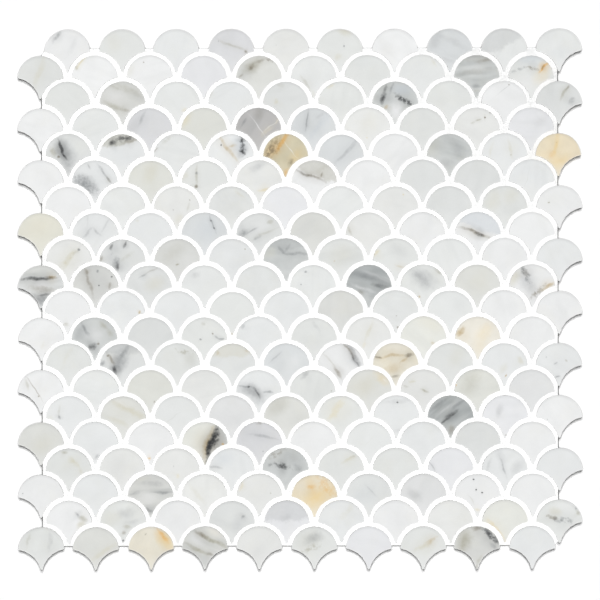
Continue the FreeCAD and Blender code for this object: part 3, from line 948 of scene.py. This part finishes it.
def crushed_edge_and_painted_shading_group():
    """Painted light and shade on the face: a pale rim along the tails and the sides, partly crushed
    crystals and partly painted highlight, painted light growing towards the tail, and painted shade
    darkening the crown's edge.
    """
    group, given, result = new_group(
        "bruised edge",
        [("On Face", "vector"), ("Colour", "colour"), ("Amount", "value")],
        [("Colour", "colour")],
    )
    head = outline_corners(bpy.context.scene.mosaic_scales)[0]
    across, up, _ = split_vector(group, given["On Face"])
    aside = calculate(group, "SUBTRACT", calculate(group, "ABSOLUTE", across), HALF_PITCH / head)
    below = calculate(group, "ADD", up, ROW_HEIGHT / head)
    from_head = calculate(group, "SUBTRACT", 1.0, hypotenuse(group, across, up))
    from_tail = hypotenuse(group, aside, below)
    from_tail = calculate(group, "SUBTRACT", from_tail, HALF_PITCH / head)
    # Painted shade: the edge of the crown is darkened towards grey
    crown = ease(group, up, 0.35, 0.95)
    dark = ease(group, from_head, 0.02, 0.16, low=0.1, high=0.0)
    dark = calculate(group, "MULTIPLY", crown, dark)
    from_head = calculate(group, "MULTIPLY_ADD", crown, 0.14, from_head)
    edge = calculate(group, "MINIMUM", from_head, from_tail)
    # A pale rim along the edge, partly crushed crystals and partly painted highlight, and painted
    # light growing towards the tail
    rim = ease(group, edge, 0.0, 0.07, low=0.2, high=0.0)
    tail = ease(group, up, -0.85, 0.05, low=0.16, high=0.0)
    pale = calculate(group, "ADD", rim, tail)
    pale = calculate(group, "MULTIPLY", pale, given["Amount"], clamp=True)
    stone = mix_colour(group, dark, given["Colour"], PAINTED_CROWN_SHADE)
    group.links.new(mix_colour(group, pale, stone, CRUSHED_AND_HIGHLIGHT_WHITE), result["Colour"])
    return group


def marble_body_group():
    """Clouds, bedding streaks and crystal grain, in the stone's own millimetres."""
    group, given, result = new_group(
        "marble body",
        [("In Block", "vector"), ("Colour", "colour"), ("Clouds", "value"), ("Streaks", "value")],
        [("Colour", "colour"), ("Grain", "value")],
    )
    cloud = noise(group, given["In Block"], scale=0.1, detail=3.0, roughness=0.55)
    lift = calculate(group, "SUBTRACT", cloud.outputs["Fac"], 0.5)
    lift = calculate(group, "MULTIPLY", lift, given["Clouds"])
    lift = calculate(group, "MULTIPLY_ADD", lift, 0.13, 1.0)
    warmth = ease(group, channel(group, cloud.outputs["Color"], 1), 0.45, 0.75)
    warmth = calculate(group, "MULTIPLY", warmth, given["Clouds"], clamp=True)
    base = mix_colour(group, warmth, given["Colour"], WARM_CAST, "MULTIPLY")
    base = scaled(group, base, lift)
    beds = combine(group, "MULTIPLY", given["In Block"], (0.04, 0.2, 0.12))
    beds = noise(group, beds, scale=1.0, detail=2.5, roughness=0.45)
    dark = ease(group, beds.outputs["Fac"], 0.42, 0.75)
    dark = calculate(group, "MULTIPLY", dark, given["Streaks"], clamp=True)
    base = mix_colour(group, dark, base, DARK_BED)
    pale = ease(group, channel(group, beds.outputs["Color"], 2), 0.5, 0.8)
    pale = calculate(group, "MULTIPLY", pale, given["Streaks"], clamp=True)
    base = mix_colour(group, calculate(group, "MULTIPLY", pale, 0.6), base, PALE_BED)
    grain = noise(group, given["In Block"], scale=1.9, detail=2.0, roughness=0.6).outputs["Fac"]
    crystal = calculate(group, "SUBTRACT", grain, 0.5)
    crystal = calculate(group, "MULTIPLY_ADD", crystal, 0.025, 1.0)
    group.links.new(scaled(group, base, crystal), result["Colour"])
    group.links.new(grain, result["Grain"])
    return group


def figured_marble_group():
    """The stone's whole figure, read from what each scale carries: its colour, body and marks.

    It is mixed as it shows on a screen and turned into light at the end.
    """
    body, mark, edge = marble_body_group(), stone_mark_group(), crushed_edge_and_painted_shading_group()
    group, _, result = new_group("figured marble", [], [("Colour", "colour"), ("Grain", "value")])
    block = attribute(group, "in_block")["Vector"]
    face = attribute(group, "on_face")["Vector"]
    figure = split_vector(group, attribute(group, "stone_figure")["Vector"])
    stone = place_group(
        group,
        body,
        {
            "In Block": block,
            "Colour": attribute(group, "stone_colour")["Color"],
            "Clouds": figure[0],
            "Streaks": figure[1],
        },
    )
    drift = noise(group, block, scale=0.12, detail=1.5, roughness=0.5).outputs["Color"]
    drift = combine(group, "SUBTRACT", drift, (0.5, 0.5, 0.5))
    drift = combine(group, "MULTIPLY", drift, (0.3, 0.3, 0.0))
    ragged = noise(group, block, scale=0.5, detail=2.0, roughness=0.6)
    fray = calculate(group, "SUBTRACT", ragged.outputs["Fac"], 0.5)
    patches = ease(group, channel(group, ragged.outputs["Color"], 2), 0.38, 0.66)
    shown = stone["Colour"]
    for slot in range(MARK_SLOTS, 0, -1):
        place = attribute(group, f"mark_{slot}_place")
        form = attribute(group, f"mark_{slot}_form")
        tint = attribute(group, f"mark_{slot}_tint")
        shown = place_group(
            group,
            mark,
            {
                "Colour": shown,
                "On Face": face,
                "Ragged": drift,
                "Fray": fray,
                "Patches": patches,
                "Place": place["Vector"],
                "Haze": place["Alpha"],
                "Form": form["Vector"],
                "Break": form["Alpha"],
                "Tint": tint["Color"],
                "Strength": tint["Alpha"],
            },
        )["Colour"]
    # Painted light and shade: a pale edge and tail, and a darker crown
    shown = place_group(group, edge, {"On Face": face, "Colour": shown, "Amount": 1.0})["Colour"]
    light = add_node(group, "ShaderNodeGamma", {"Color": shown, "Gamma": 2.2})
    group.links.new(light.outputs[0], result["Colour"])
    group.links.new(stone["Grain"], result["Grain"])
    return group


def new_material(name, roughness):
    """A material with an empty Principled BSDF, and its node tree and shader."""
    material = bpy.data.materials.new(name)
    material.use_nodes = True
    tree = material.node_tree
    shader = next(n for n in tree.nodes if n.type == "BSDF_PRINCIPLED")
    shader.inputs["Roughness"].default_value = roughness
    return material, tree, shader


def marble_materials(settings):
    """The honed face, and the sawn sides and back, of one and the same stone."""
    marble = figured_marble_group()
    face, tree, shader = new_material("honed marble face", settings.face_roughness)
    stone = place_group(tree, marble)
    tree.links.new(stone["Colour"], shader.inputs["Base Color"])
    smoothest, roughest = settings.face_roughness - 0.06, settings.face_roughness + 0.08
    rub = ease(tree, stone["Grain"], 0.3, 0.75, low=smoothest, high=roughest)
    tree.links.new(rub, shader.inputs["Roughness"])
    add_bump(tree, shader, stone["Grain"], strength=0.12, distance=0.00002)

    side, tree, shader = new_material("sawn marble side", settings.side_roughness)
    stone = place_group(tree, marble)
    chalky = mix_colour(tree, 0.6, stone["Colour"], SAWN_CHALK)
    tree.links.new(chalky, shader.inputs["Base Color"])
    place = add_node(tree, "ShaderNodeTexCoord").outputs["Object"]
    cuts = combine(tree, "MULTIPLY", place, (90, 90, 2600))
    cuts = noise(tree, cuts, scale=1.0, detail=2.0, roughness=0.5).outputs["Fac"]
    pits = noise(tree, place, scale=2500, detail=2.0, roughness=0.6).outputs["Fac"]
    rough = calculate(tree, "MULTIPLY_ADD", pits, 0.4, cuts)
    add_bump(tree, shader, rough, strength=0.5, distance=0.00006)
    return face, side


# Modelling


def deselect():
    if bpy.context.object and bpy.context.object.mode != "OBJECT":
        bpy.ops.object.mode_set(mode="OBJECT")
    bpy.ops.object.select_all(action="DESELECT")


def edit_all():
    bpy.ops.object.mode_set(mode="EDIT")
    bpy.ops.mesh.select_mode(type="VERT")
    bpy.ops.mesh.select_all(action="SELECT")


def select_only(thing):
    deselect()
    thing.select_set(True)
    bpy.context.view_layer.objects.active = thing


def outline_corners(settings):
    """Head radius, shoulder corner and tip corner of a scale, from the lattice and the joint."""
    head = HALF_PITCH - settings.joint
    reach = math.hypot(HALF_PITCH, ROW_HEIGHT)
    along = (reach**2 + head**2 - HALF_PITCH**2) / (2 * reach)
    across = math.sqrt(head**2 - along**2)
    shoulder = Vector(
        (along * HALF_PITCH + across * ROW_HEIGHT, across * HALF_PITCH - along * ROW_HEIGHT)
    )
    half_tip = settings.tip_width / 2
    tip = Vector((half_tip, math.sqrt(HALF_PITCH**2 - (HALF_PITCH - half_tip) ** 2) - ROW_HEIGHT))
    return head, shoulder / reach, tip


def model_scale(settings, materials):
    """One scale, spun from a point at the tip: tail arc, head arc, tail arc, then thickness."""
    head, shoulder, tip = outline_corners(settings)
    thickness = FIRST_HIGH.z - FIRST_LOW.z
    deselect()
    bpy.ops.mesh.primitive_plane_add(size=settings.tip_width)
    scale = bpy.context.object
    scale.name = "scale_pattern"
    for material in materials:
        scale.data.materials.append(material)
    edit_all()
    bpy.ops.mesh.merge(type="CENTER")
    bpy.ops.transform.translate(value=(tip.x, tip.y, FIRST_LOW.z))
    start = math.atan2(tip.y + ROW_HEIGHT, tip.x - HALF_PITCH)
    end = math.atan2(shoulder.y + ROW_HEIGHT, shoulder.x - HALF_PITCH)
    turn = math.pi - 2 * math.atan2(shoulder.y, shoulder.x)
    level, down = FIRST_LOW.z, (0, 0, -1)
    for steps, sweep, centre in (
        (TAIL_STEPS, end - start, (HALF_PITCH, -ROW_HEIGHT, level)),
        (HEAD_STEPS, turn, (0, 0, level)),
        (TAIL_STEPS, end - start, (-HALF_PITCH, -ROW_HEIGHT, level)),
    ):
        bpy.ops.mesh.spin(steps=steps, angle=sweep, center=centre, axis=down)
    bpy.ops.mesh.select_all(action="SELECT")
    bpy.ops.mesh.edge_face_add()
    for corner, offset in ((shoulder, settings.corner), (tip, settings.tip_corner)):
        bpy.ops.mesh.select_all(action="DESELECT")
        bpy.ops.object.mode_set(mode="OBJECT")
        for vertex in scale.data.vertices:
            spot = Vector((abs(vertex.co.x), vertex.co.y))
            vertex.select = (spot - corner).length < TOLERANCE
        bpy.ops.object.mode_set(mode="EDIT")
        bpy.ops.mesh.bevel(affect="VERTICES", offset=offset, segments=1)
    bpy.ops.mesh.select_all(action="SELECT")
    bpy.ops.mesh.extrude_region_move(TRANSFORM_OT_translate={"value": (0, 0, thickness)})
    bpy.ops.mesh.bevel(affect="EDGES", offset=settings.arris, segments=1)
    bpy.ops.mesh.select_all(action="SELECT")
    bpy.ops.mesh.normals_make_consistent(inside=False)
    bpy.ops.object.mode_set(mode="OBJECT")
    for face in scale.data.polygons:
        face.material_index = 0 if face.normal.z > LEVEL else 1
    bpy.ops.object.shade_smooth_by_angle(angle=STONE_CREASE)
    return scale


def write_attribute(mesh, name, kind, values):
    """Gives every vertex its own value, or all of them the same one."""
    made = mesh.attributes.new(name, kind, "POINT")
    width = 4 if kind == "FLOAT_COLOR" else 3
    if len(values) == width:
        values = list(values) * len(mesh.vertices)
    made.data.foreach_set("color" if kind == "FLOAT_COLOR" else "vector", values)


def faint_marks(draw):
    """A plain stone's own few faint marks."""
    marks = []
    if draw.random() < 0.45:
        tint = draw.choice(("sand", "grey", "sand", "grey", "blue"))
        spot = (draw.uniform(-0.6, 0.6), draw.uniform(-0.2, 0.8), draw.uniform(0, 180))
        marks.append(("wash", tint, draw.uniform(0.06, 0.16), *spot, draw.uniform(0.7, 1.1)))
    if draw.random() < 0.15:
        tint = draw.choice(("grey", "sand", "olive"))
        spot = (draw.uniform(-0.5, 0.5), draw.uniform(0, 0.7), draw.uniform(20, 80))
        marks.append(("hair", tint, draw.uniform(0.1, 0.2), *spot, draw.uniform(0.6, 1.1)))
    if draw.random() < 0.12:
        spot = (draw.uniform(-0.7, 0.7), draw.uniform(-0.3, 0.7), 0)
        marks.append(("spot", "umber", draw.uniform(0.2, 0.45), *spot, draw.uniform(0.5, 0.8)))
    return marks


def give_stone(mesh, settings, head, row, place, draw):
    """Writes a scale's stone into its mesh: colour, place in the block, figure and marks."""
    kind = stone_at(row, place)
    marks = [mark[2:] for mark in MARKS if mark[:2] == (row, place)]
    faint = faint_marks(draw)
    if kind is None and not marks:
        marks = faint
    shade = draw.gauss(1, SHADE_SPREAD)
    kind = kind or draw.choice(PLAIN_KINDS)
    streaks, bed = BEDDING.get((row, place), (draw.uniform(0, 0.05), draw.uniform(0, 180)))
    clouds = draw.uniform(0.7, 1.1) if kind in CLOUDED_KINDS else draw.uniform(0.3, 0.6)
    corner = Vector([draw.uniform(-BLOCK_REACH, BLOCK_REACH) for _ in range(3)])
    into_block = Matrix.Rotation(math.radians(-bed), 3, "Z")
    in_block, on_face = [], []
    for vertex in mesh.vertices:
        in_block.extend(into_block @ (vertex.co / MM) + corner)
        x, y, z = vertex.co
        on_face.extend((x / head, y / head, (z - FIRST_HIGH.z) / head))
    write_attribute(mesh, "in_block", "FLOAT_VECTOR", in_block)
    write_attribute(mesh, "on_face", "FLOAT_VECTOR", on_face)
    write_attribute(mesh, "stone_figure", "FLOAT_VECTOR", (clouds, streaks, 0))
    stone = [c * shade for c in getattr(settings, kind)]
    write_attribute(mesh, "stone_colour", "FLOAT_COLOR", (*stone, 1))
    for slot in range(MARK_SLOTS):
        spot, form, tint = (0, 0, 0, 0), (1, 1, 1, 0), (0, 0, 0, 0)
        if slot < len(marks):
            name, hue, strength, across, up, turn, size = marks[slot]
            long, wide, soft, broken, haze = FORMS[name]
            spot = (across, up, math.radians(turn), haze)
            form = (long * size, wide * size, soft, broken)
            tint = (*getattr(settings, hue), strength * settings.mark_strength)
        write_attribute(mesh, f"mark_{slot + 1}_place", "FLOAT_COLOR", spot)
        write_attribute(mesh, f"mark_{slot + 1}_form", "FLOAT_COLOR", form)
        write_attribute(mesh, f"mark_{slot + 1}_tint", "FLOAT_COLOR", tint)


def cut_by_hand(mesh, settings, draw):
    """The cut strays a little from the true arcs, and the top is a touch low and tilted."""
    waves = [(k, draw.gauss(0, settings.wobble), draw.uniform(0, math.tau)) for k in (2, 3, 5)]
    drop = draw.uniform(0, settings.thinner)
    lean = draw.gauss(0, TOP_TILT), draw.gauss(0, TOP_TILT)
    middle = (FIRST_LOW.z + FIRST_HIGH.z) / 2
    for vertex in mesh.vertices:
        spot = vertex.co
        round_about = math.atan2(spot.y, spot.x)
        stray = sum(size * math.sin(k * round_about + shift) for k, size, shift in waves)
        reach = math.hypot(spot.x, spot.y)
        spot.x += stray * spot.x / reach
        spot.y += stray * spot.y / reach
        if spot.z > middle:
            spot.z -= drop + abs(lean[0] * spot.x + lean[1] * spot.y)


def set_in_place(mesh, settings, row, place, head, draw):
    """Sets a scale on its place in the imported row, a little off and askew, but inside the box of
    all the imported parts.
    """
    low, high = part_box(ROW_NODES[row])
    shoulder = (high.x - low.x - (SCALES_PER_ROW - 1) * PITCH) / 2
    at = Vector((low.x + shoulder + place * PITCH, high.y - head, 0))
    off = Vector((draw.gauss(0, settings.drift_across), draw.gauss(0, settings.drift_up), 0))
    askew = Matrix.Rotation(draw.gauss(0, settings.turn), 4, "Z")
    mesh.transform(Matrix.Translation(at + off) @ askew)
    corners = [vertex.co for vertex in mesh.vertices]
    back = Vector((0, 0, 0))
    for axis in (0, 1):
        least, most = min(c[axis] for c in corners), max(c[axis] for c in corners)
        back[axis] = max(0, cad_low[axis] - least) - max(0, most - cad_high[axis])
    mesh.transform(Matrix.Translation(back))


class MOSAIC_OT_scales(bpy.types.Operator):
    """Cut, figure and set the marble scales, one joined piece for each row"""

    bl_idname = "mosaic.scales"
    bl_label = "Marble scales"

    def execute(self, context):
        settings, marble = context.scene.mosaic_scales, context.scene.mosaic_marble
        draw = random.Random(settings.seed)
        pattern = model_scale(settings, marble_materials(marble))
        head = outline_corners(settings)[0]
        for row, node in enumerate(ROW_NODES):
            scales = []
            for place in range(SCALES_PER_ROW):
                scale = pattern.copy()
                scale.data = pattern.data.copy()
                context.collection.objects.link(scale)
                give_stone(scale.data, marble, head, row, place, draw)
                cut_by_hand(scale.data, settings, draw)
                set_in_place(scale.data, settings, row, place, head, draw)
                scales.append(scale)
            deselect()
            for scale in scales:
                scale.select_set(True)
            context.view_layer.objects.active = scales[0]
            bpy.ops.object.join()
            piece = scales[0]
            piece.name = piece.data.name = f"marble_row_{row + 1:02d}"
            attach(piece, "root")
            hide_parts(node)
        bpy.data.objects.remove(pattern)
        return {"FINISHED"}


def array(thing, count, step):
    """Repeats an object count times, a step apart."""
    modifier = thing.modifiers.new("repeat", "ARRAY")
    modifier.count = count
    modifier.use_relative_offset = False
    modifier.use_constant_offset = True
    modifier.constant_offset_displace = step
    modifier.use_merge_vertices = True
    modifier.merge_threshold = TOLERANCE
    select_only(thing)
    bpy.ops.object.modifier_apply(modifier=modifier.name)


def trim(thing, at, normal):
    """Cuts off what lies beyond a plane and closes the cut."""
    select_only(thing)
    edit_all()
    bpy.ops.mesh.bisect(plane_co=at, plane_no=normal, clear_outer=True, use_fill=True)
    bpy.ops.object.mode_set(mode="OBJECT")


def model_strand(settings, material, phase):
    """One of the two strands that twist round every weft: a flat ring drawn along two wefts."""
    step = 2 * settings.spacing / STRAND_STEPS
    middle = (NET_LOW.z + NET_HIGH.z) / 2
    rise = middle - NET_LOW.z - settings.strand_height / 2
    path = []
    for n in range(STRAND_STEPS + 1):
        swing = math.pi * n * step / settings.spacing + phase
        aside, level = settings.twist * math.sin(swing), middle + rise * math.cos(swing)
        path.append(Vector((aside, n * step, level)))
    deselect()
    bpy.ops.mesh.primitive_circle_add(
        vertices=4, radius=0.5, location=path[0], rotation=(math.pi / 2, 0, 0)
    )
    strand = bpy.context.object
    strand.scale = (settings.strand_width, settings.strand_height, 1)
    bpy.ops.object.transform_apply()
    strand.data.materials.append(material)
    edit_all()
    for here, there in zip(path, path[1:]):
        bpy.ops.mesh.extrude_region_move(TRANSFORM_OT_translate={"value": there - here})
    bpy.ops.object.mode_set(mode="OBJECT")
    lengthwise = math.ceil((NET_HIGH.y - NET_LOW.y) / (2 * settings.spacing)) + 1
    crosswise = math.ceil((NET_HIGH.x - NET_LOW.x) / settings.spacing) + 1
    array(strand, lengthwise, (0, 2 * settings.spacing, 0))
    array(strand, crosswise, (settings.spacing, 0, 0))
    return strand


def model_wefts(settings, material):
    """The flat threads along the rows."""
    middle = (NET_LOW.z + NET_HIGH.z) / 2
    width = NET_HIGH.x - NET_LOW.x + 4 * settings.spacing
    deselect()
    bpy.ops.mesh.primitive_cube_add(size=1, location=(width / 2 - 2 * settings.spacing, 0, middle))
    weft = bpy.context.object
    weft.scale = (width, settings.weft_width, settings.weft_height)
    bpy.ops.object.transform_apply()
    weft.data.materials.append(material)
    bpy.ops.object.mode_set(mode="EDIT")
    bpy.ops.mesh.select_mode(type="EDGE")
    bpy.ops.mesh.select_all(action="DESELECT")
    bpy.ops.object.mode_set(mode="OBJECT")
    for edge in weft.data.edges:
        ends = [weft.data.vertices[n].co for n in edge.vertices]
        edge.select = abs(ends[0].x - ends[1].x) > settings.spacing
    bpy.ops.object.mode_set(mode="EDIT")
    bpy.ops.mesh.subdivide(number_cuts=WEFT_CUTS)
    bpy.ops.object.mode_set(mode="OBJECT")
    count = math.ceil((NET_HIGH.y - NET_LOW.y) / settings.spacing) + 1
    array(weft, count, (0, settings.spacing, 0))
    return weft


def slack(mesh):
    """The net never lies quite straight."""
    for vertex in mesh.vertices:
        x, y = vertex.co.x / MM, vertex.co.y / MM
        vertex.co.x += MM * (0.5 * math.sin(y / 41 + 0.6) + 0.25 * math.sin(y / 17 + x / 90))
        vertex.co.y += MM * (0.6 * math.sin(x / 53 + 1.1) + 0.2 * math.sin(x / 19 + y / 70))


def fibre_group():
    """Glass fibres seen through latex: fine lines along the thread."""
    group, given, result = new_group(
        "spun fibre",
        [("Along", "vector"), ("Colour", "colour")],
        [("Colour", "colour"), ("Height", "value")],
    )
    place = add_node(group, "ShaderNodeTexCoord").outputs["Object"]
    place = combine(group, "MULTIPLY", place, given["Along"])
    lines = noise(group, place, scale=1.0, detail=2.0, roughness=0.6).outputs["Fac"]
    shade = ease(group, lines, 0.3, 0.7, low=0.965, high=1.0)
    group.links.new(scaled(group, given["Colour"], shade), result["Colour"])
    group.links.new(lines, result["Height"])
    return group


def backing_materials(settings):
    """Warp thread, weft thread, the latex skin between them, and the skin's cut edge painted dark
    as a shadow.
    """
    fibre = fibre_group()
    made = []
    for name, along in (("warp thread", (7000, 700, 7000)), ("weft thread", (700, 7000, 7000))):
        material, tree, shader = new_material(name, 0.55)
        spun = place_group(tree, fibre, {"Along": along, "Colour": (*linear(settings.thread), 1)})
        tree.links.new(spun["Colour"], shader.inputs["Base Color"])
        add_bump(tree, shader, spun["Height"], strength=0.5, distance=0.00005)
        made.append(material)
    latex, tree, shader = new_material("latex skin", 0.62)
    place = add_node(tree, "ShaderNodeTexCoord").outputs["Object"]
    patch = noise(tree, place, scale=90, detail=3.0, roughness=0.6).outputs["Fac"]
    wrinkle = noise(tree, place, scale=900, detail=3.0, roughness=0.6).outputs["Fac"]
    white = linear(settings.latex)
    dull = [0.975 * c for c in white]
    shown = mix_colour(tree, ease(tree, patch, 0.4, 0.7), (*white, 1), (*dull, 1))
    tree.links.new(shown, shader.inputs["Base Color"])
    rub = ease(tree, patch, 0.3, 0.7, low=0.5, high=0.72)
    tree.links.new(rub, shader.inputs["Roughness"])
    add_bump(tree, shader, wrinkle, strength=0.4, distance=0.00008)
    # Painted shadow: the dark colour of the skin's cut edge
    cut, tree, shader = new_material("cut edge of the skin", 0.9)
    shader.inputs["Base Color"].default_value = (*linear(settings.cut_edge), 1)
    return (*made, latex, cut)


def model_skin(settings, latex, cut):
    """The latex skin and its flat size, with its cut edge bevelled back and painted dark as a
    shadow along the bottom and sides, the strip widest along the bottom.
    """
    low = NET_LOW - Vector((0, settings.hangs_below, 0))
    high = NET_HIGH + Vector((0, settings.hangs_above, 0))
    middle = (low + high) / 2
    level = NET_LOW.z + (settings.skin_low + settings.skin_high) / 2
    flat = (high.x - low.x, high.y - low.y)
    deselect()
    bpy.ops.mesh.primitive_cube_add(size=1, location=(middle.x, middle.y, level))
    skin = bpy.context.object
    skin.scale = (*flat, settings.skin_high - settings.skin_low)
    bpy.ops.object.transform_apply()
    skin.data.materials.append(latex)
    skin.data.materials.append(cut)
    for vertex in skin.data.vertices:
        vertex.select = vertex.co.z > level
    bpy.ops.object.mode_set(mode="EDIT")
    bpy.ops.mesh.bevel(affect="EDGES", offset=settings.cut_width, segments=1)
    bpy.ops.object.mode_set(mode="OBJECT")
    # Painted shadow: the bevel along the bottom and the sides is coloured dark; level faces and
    # those that slope up the sheet stay white
    for face in skin.data.polygons:
        stays_white = abs(face.normal.z) > LEVEL or face.normal.y > SLOPES_UP
        face.material_index = 0 if stays_white else 1
    # The painted shadow strip is widened along the bottom, and the bevel along the top is narrowed
    for vertex in skin.data.vertices:
        if vertex.co.z > NET_LOW.z + settings.skin_high - TOLERANCE:
            vertex.co.y += settings.shadow_wider_below if vertex.co.y < middle.y else settings.bevel_narrower_above
    return skin, flat


class MOSAIC_OT_backing(bpy.types.Operator):
    """Weave the glass-fibre net, lay it in its latex skin and trim it to size"""

    bl_idname = "mosaic.backing"
    bl_label = "Mesh backing"

    def execute(self, context):
        settings = context.scene.mosaic_backing
        warp, weft, latex, cut = backing_materials(settings)
        start = Vector((NET_LOW.x - settings.spacing / 2, NET_LOW.y - settings.spacing / 2, 0))
        inset = Vector((settings.inset, settings.inset, 0))
        threads = [model_strand(settings, warp, phase) for phase in (0, math.pi)]
        threads.append(model_wefts(settings, weft))
        for thread in threads:
            thread.data.transform(Matrix.Translation(start))
            slack(thread.data)
            for at, normal in (
                (NET_LOW + inset, (-1, 0, 0)),
                (NET_LOW + inset, (0, -1, 0)),
                (NET_HIGH - inset, (1, 0, 0)),
                (NET_HIGH - inset, (0, 1, 0)),
            ):
                trim(thread, at, normal)
        skin, flat = model_skin(settings, latex, cut)
        for thing in (*threads, skin):
            for at, normal in SNIPPED_CORNERS:
                trim(thing, Vector(at) * MM, normal)
        deselect()
        for thing in (*threads, skin):
            thing.select_set(True)
        context.view_layer.objects.active = skin
        bpy.ops.object.join()
        edit_all()
        bpy.ops.mesh.normals_make_consistent(inside=False)
        bpy.ops.object.mode_set(mode="OBJECT")
        skin.data.validate()
        bpy.ops.object.shade_smooth_by_angle(angle=BACKING_CREASE)
        skin.name = skin.data.name = "coated_net"
        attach(skin, "root")
        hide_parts("mesh_backing")
        return {"FINISHED"}


def seen_directly(tree):
    """1 for what the eye sees straight, in a reflection or through glass, and 0 for lighting."""
    rays = add_node(tree, "ShaderNodeLightPath").outputs
    seen = calculate(tree, "MAXIMUM", rays["Is Camera Ray"], rays["Is Glossy Ray"])
    return calculate(tree, "MAXIMUM", seen, rays["Is Transmission Ray"])


def add_sun(name, irradiance, size, lean):
    deselect()
    bpy.ops.object.light_add(type="SUN", location=(0, 0, 1), rotation=(lean, 0, 0))
    sun = bpy.context.object
    sun.name = name
    sun.data.energy = math.pi * irradiance
    sun.data.angle = size
    sun.visible_glossy = False
    return sun


def light_only(sun, name, things):
    """The sun lights nothing but these."""
    chosen = bpy.data.collections.new(name)
    for thing in things:
        chosen.objects.link(thing)
    for one in chosen.collection_objects:
        one.light_linking.link_state = "INCLUDE"
    sun.light_linking.receiver_collection = chosen


class MOSAIC_OT_stage(bpy.types.Operator):
    """Lay the white floor and set the lights, the sky and the camera"""

    bl_idname = "mosaic.stage"
    bl_label = "Floor, light and camera"

    def execute(self, context):
        settings = context.scene.mosaic_stage
        pieces = [thing for thing in context.scene.objects if thing.type == "MESH"]
        deselect()
        bpy.ops.mesh.primitive_plane_add(size=FLOOR_SIZE, location=(0, 0, cad_low.z - FLOOR_GAP))
        floor = bpy.context.object
        floor.name = "studio_floor"
        material, tree, shader = new_material("white floor", 1.0)
        contact = {"Color": (*linear(settings.floor), 1), "Distance": settings.contact}
        contact = add_node(tree, "ShaderNodeAmbientOcclusion", contact)
        tree.links.new(contact.outputs["Color"], shader.inputs["Base Color"])
        shader.inputs["Specular IOR Level"].default_value = 0.0
        lift = calculate(tree, "MULTIPLY", seen_directly(tree), settings.glow)
        glow = add_node(tree, "ShaderNodeEmission", {"Strength": lift})
        both = add_node(tree, "ShaderNodeAddShader", {0: shader.outputs[0], 1: glow.outputs[0]})
        output = next(n for n in tree.nodes if n.type == "OUTPUT_MATERIAL")
        tree.links.new(both.outputs[0], output.inputs["Surface"])
        floor.data.materials.append(material)

        stones = [thing for thing in pieces if thing.name.startswith("marble")]
        backing = [thing for thing in pieces if thing.name.startswith("coated")]
        key = add_sun("overhead light", settings.key, settings.key_size, settings.key_lean)
        light_only(key, "the stones", stones)
        down = add_sun("light down the joints", settings.joints, settings.joints_size, 0)
        light_only(down, "the backing", backing)
        low = add_sun("floor light", settings.low, settings.low_size, settings.low_lean)
        light_only(low, "the floor alone", [floor])

        world = bpy.data.worlds.new("white studio")
        context.scene.world = world
        world.use_nodes = True
        tree = world.node_tree
        backdrop = next(n for n in tree.nodes if n.type == "BACKGROUND")
        backdrop.inputs["Color"].default_value = (1, 1, 1, 1)
        seen = seen_directly(tree)
        strength = calculate(tree, "MAXIMUM", seen, settings.sky)
        tree.links.new(strength, backdrop.inputs["Strength"])

        camera_data = bpy.data.cameras.new("camera")
        camera = bpy.data.objects.new("camera", camera_data)
        context.collection.objects.link(camera)
        camera_data.lens = settings.lens
        camera_data.sensor_width = SENSOR_WIDTH
        distance = settings.view_width * settings.lens / SENSOR_WIDTH
        camera.location = (0, -settings.view_drop, cad_high.z + distance)
        camera.rotation_euler.z = settings.view_turn
        camera_data.clip_start, camera_data.clip_end = NEAREST, FARTHEST
        context.scene.camera = camera
        context.scene.view_settings.view_transform = "Standard"
        return {"FINISHED"}


class MOSAIC_PT_panel(bpy.types.Panel):
    bl_label = "Mosaic sheet"
    bl_idname = "MOSAIC_PT_panel"
    bl_space_type = "VIEW_3D"
    bl_region_type = "UI"
    bl_category = "Mosaic"

    def draw(self, context):
        for operator in OPERATORS:
            self.layout.operator(operator.bl_idname)
        for name in SETTINGS:
            group = getattr(context.scene, name)
            for key in group.__annotations__:
                self.layout.prop(group, key)


SETTINGS = {
    "mosaic_scales": ScaleSettings,
    "mosaic_marble": MarbleSettings,
    "mosaic_backing": BackingSettings,
    "mosaic_stage": StageSettings,
}
OPERATORS = (MOSAIC_OT_scales, MOSAIC_OT_backing, MOSAIC_OT_stage)
CLASSES = (*SETTINGS.values(), *OPERATORS, MOSAIC_PT_panel)


def register():
    for item in CLASSES:
        bpy.utils.register_class(item)
    for name, group in SETTINGS.items():
        setattr(bpy.types.Scene, name, bpy.props.PointerProperty(type=group))


def unregister():
    for name in SETTINGS:
        delattr(bpy.types.Scene, name)
    for item in reversed(CLASSES):
        bpy.utils.unregister_class(item)


def main():
    register()
    bpy.ops.mosaic.scales()
    bpy.ops.mosaic.backing()
    bpy.ops.mosaic.stage()


if __name__ == "__main__":
    main()
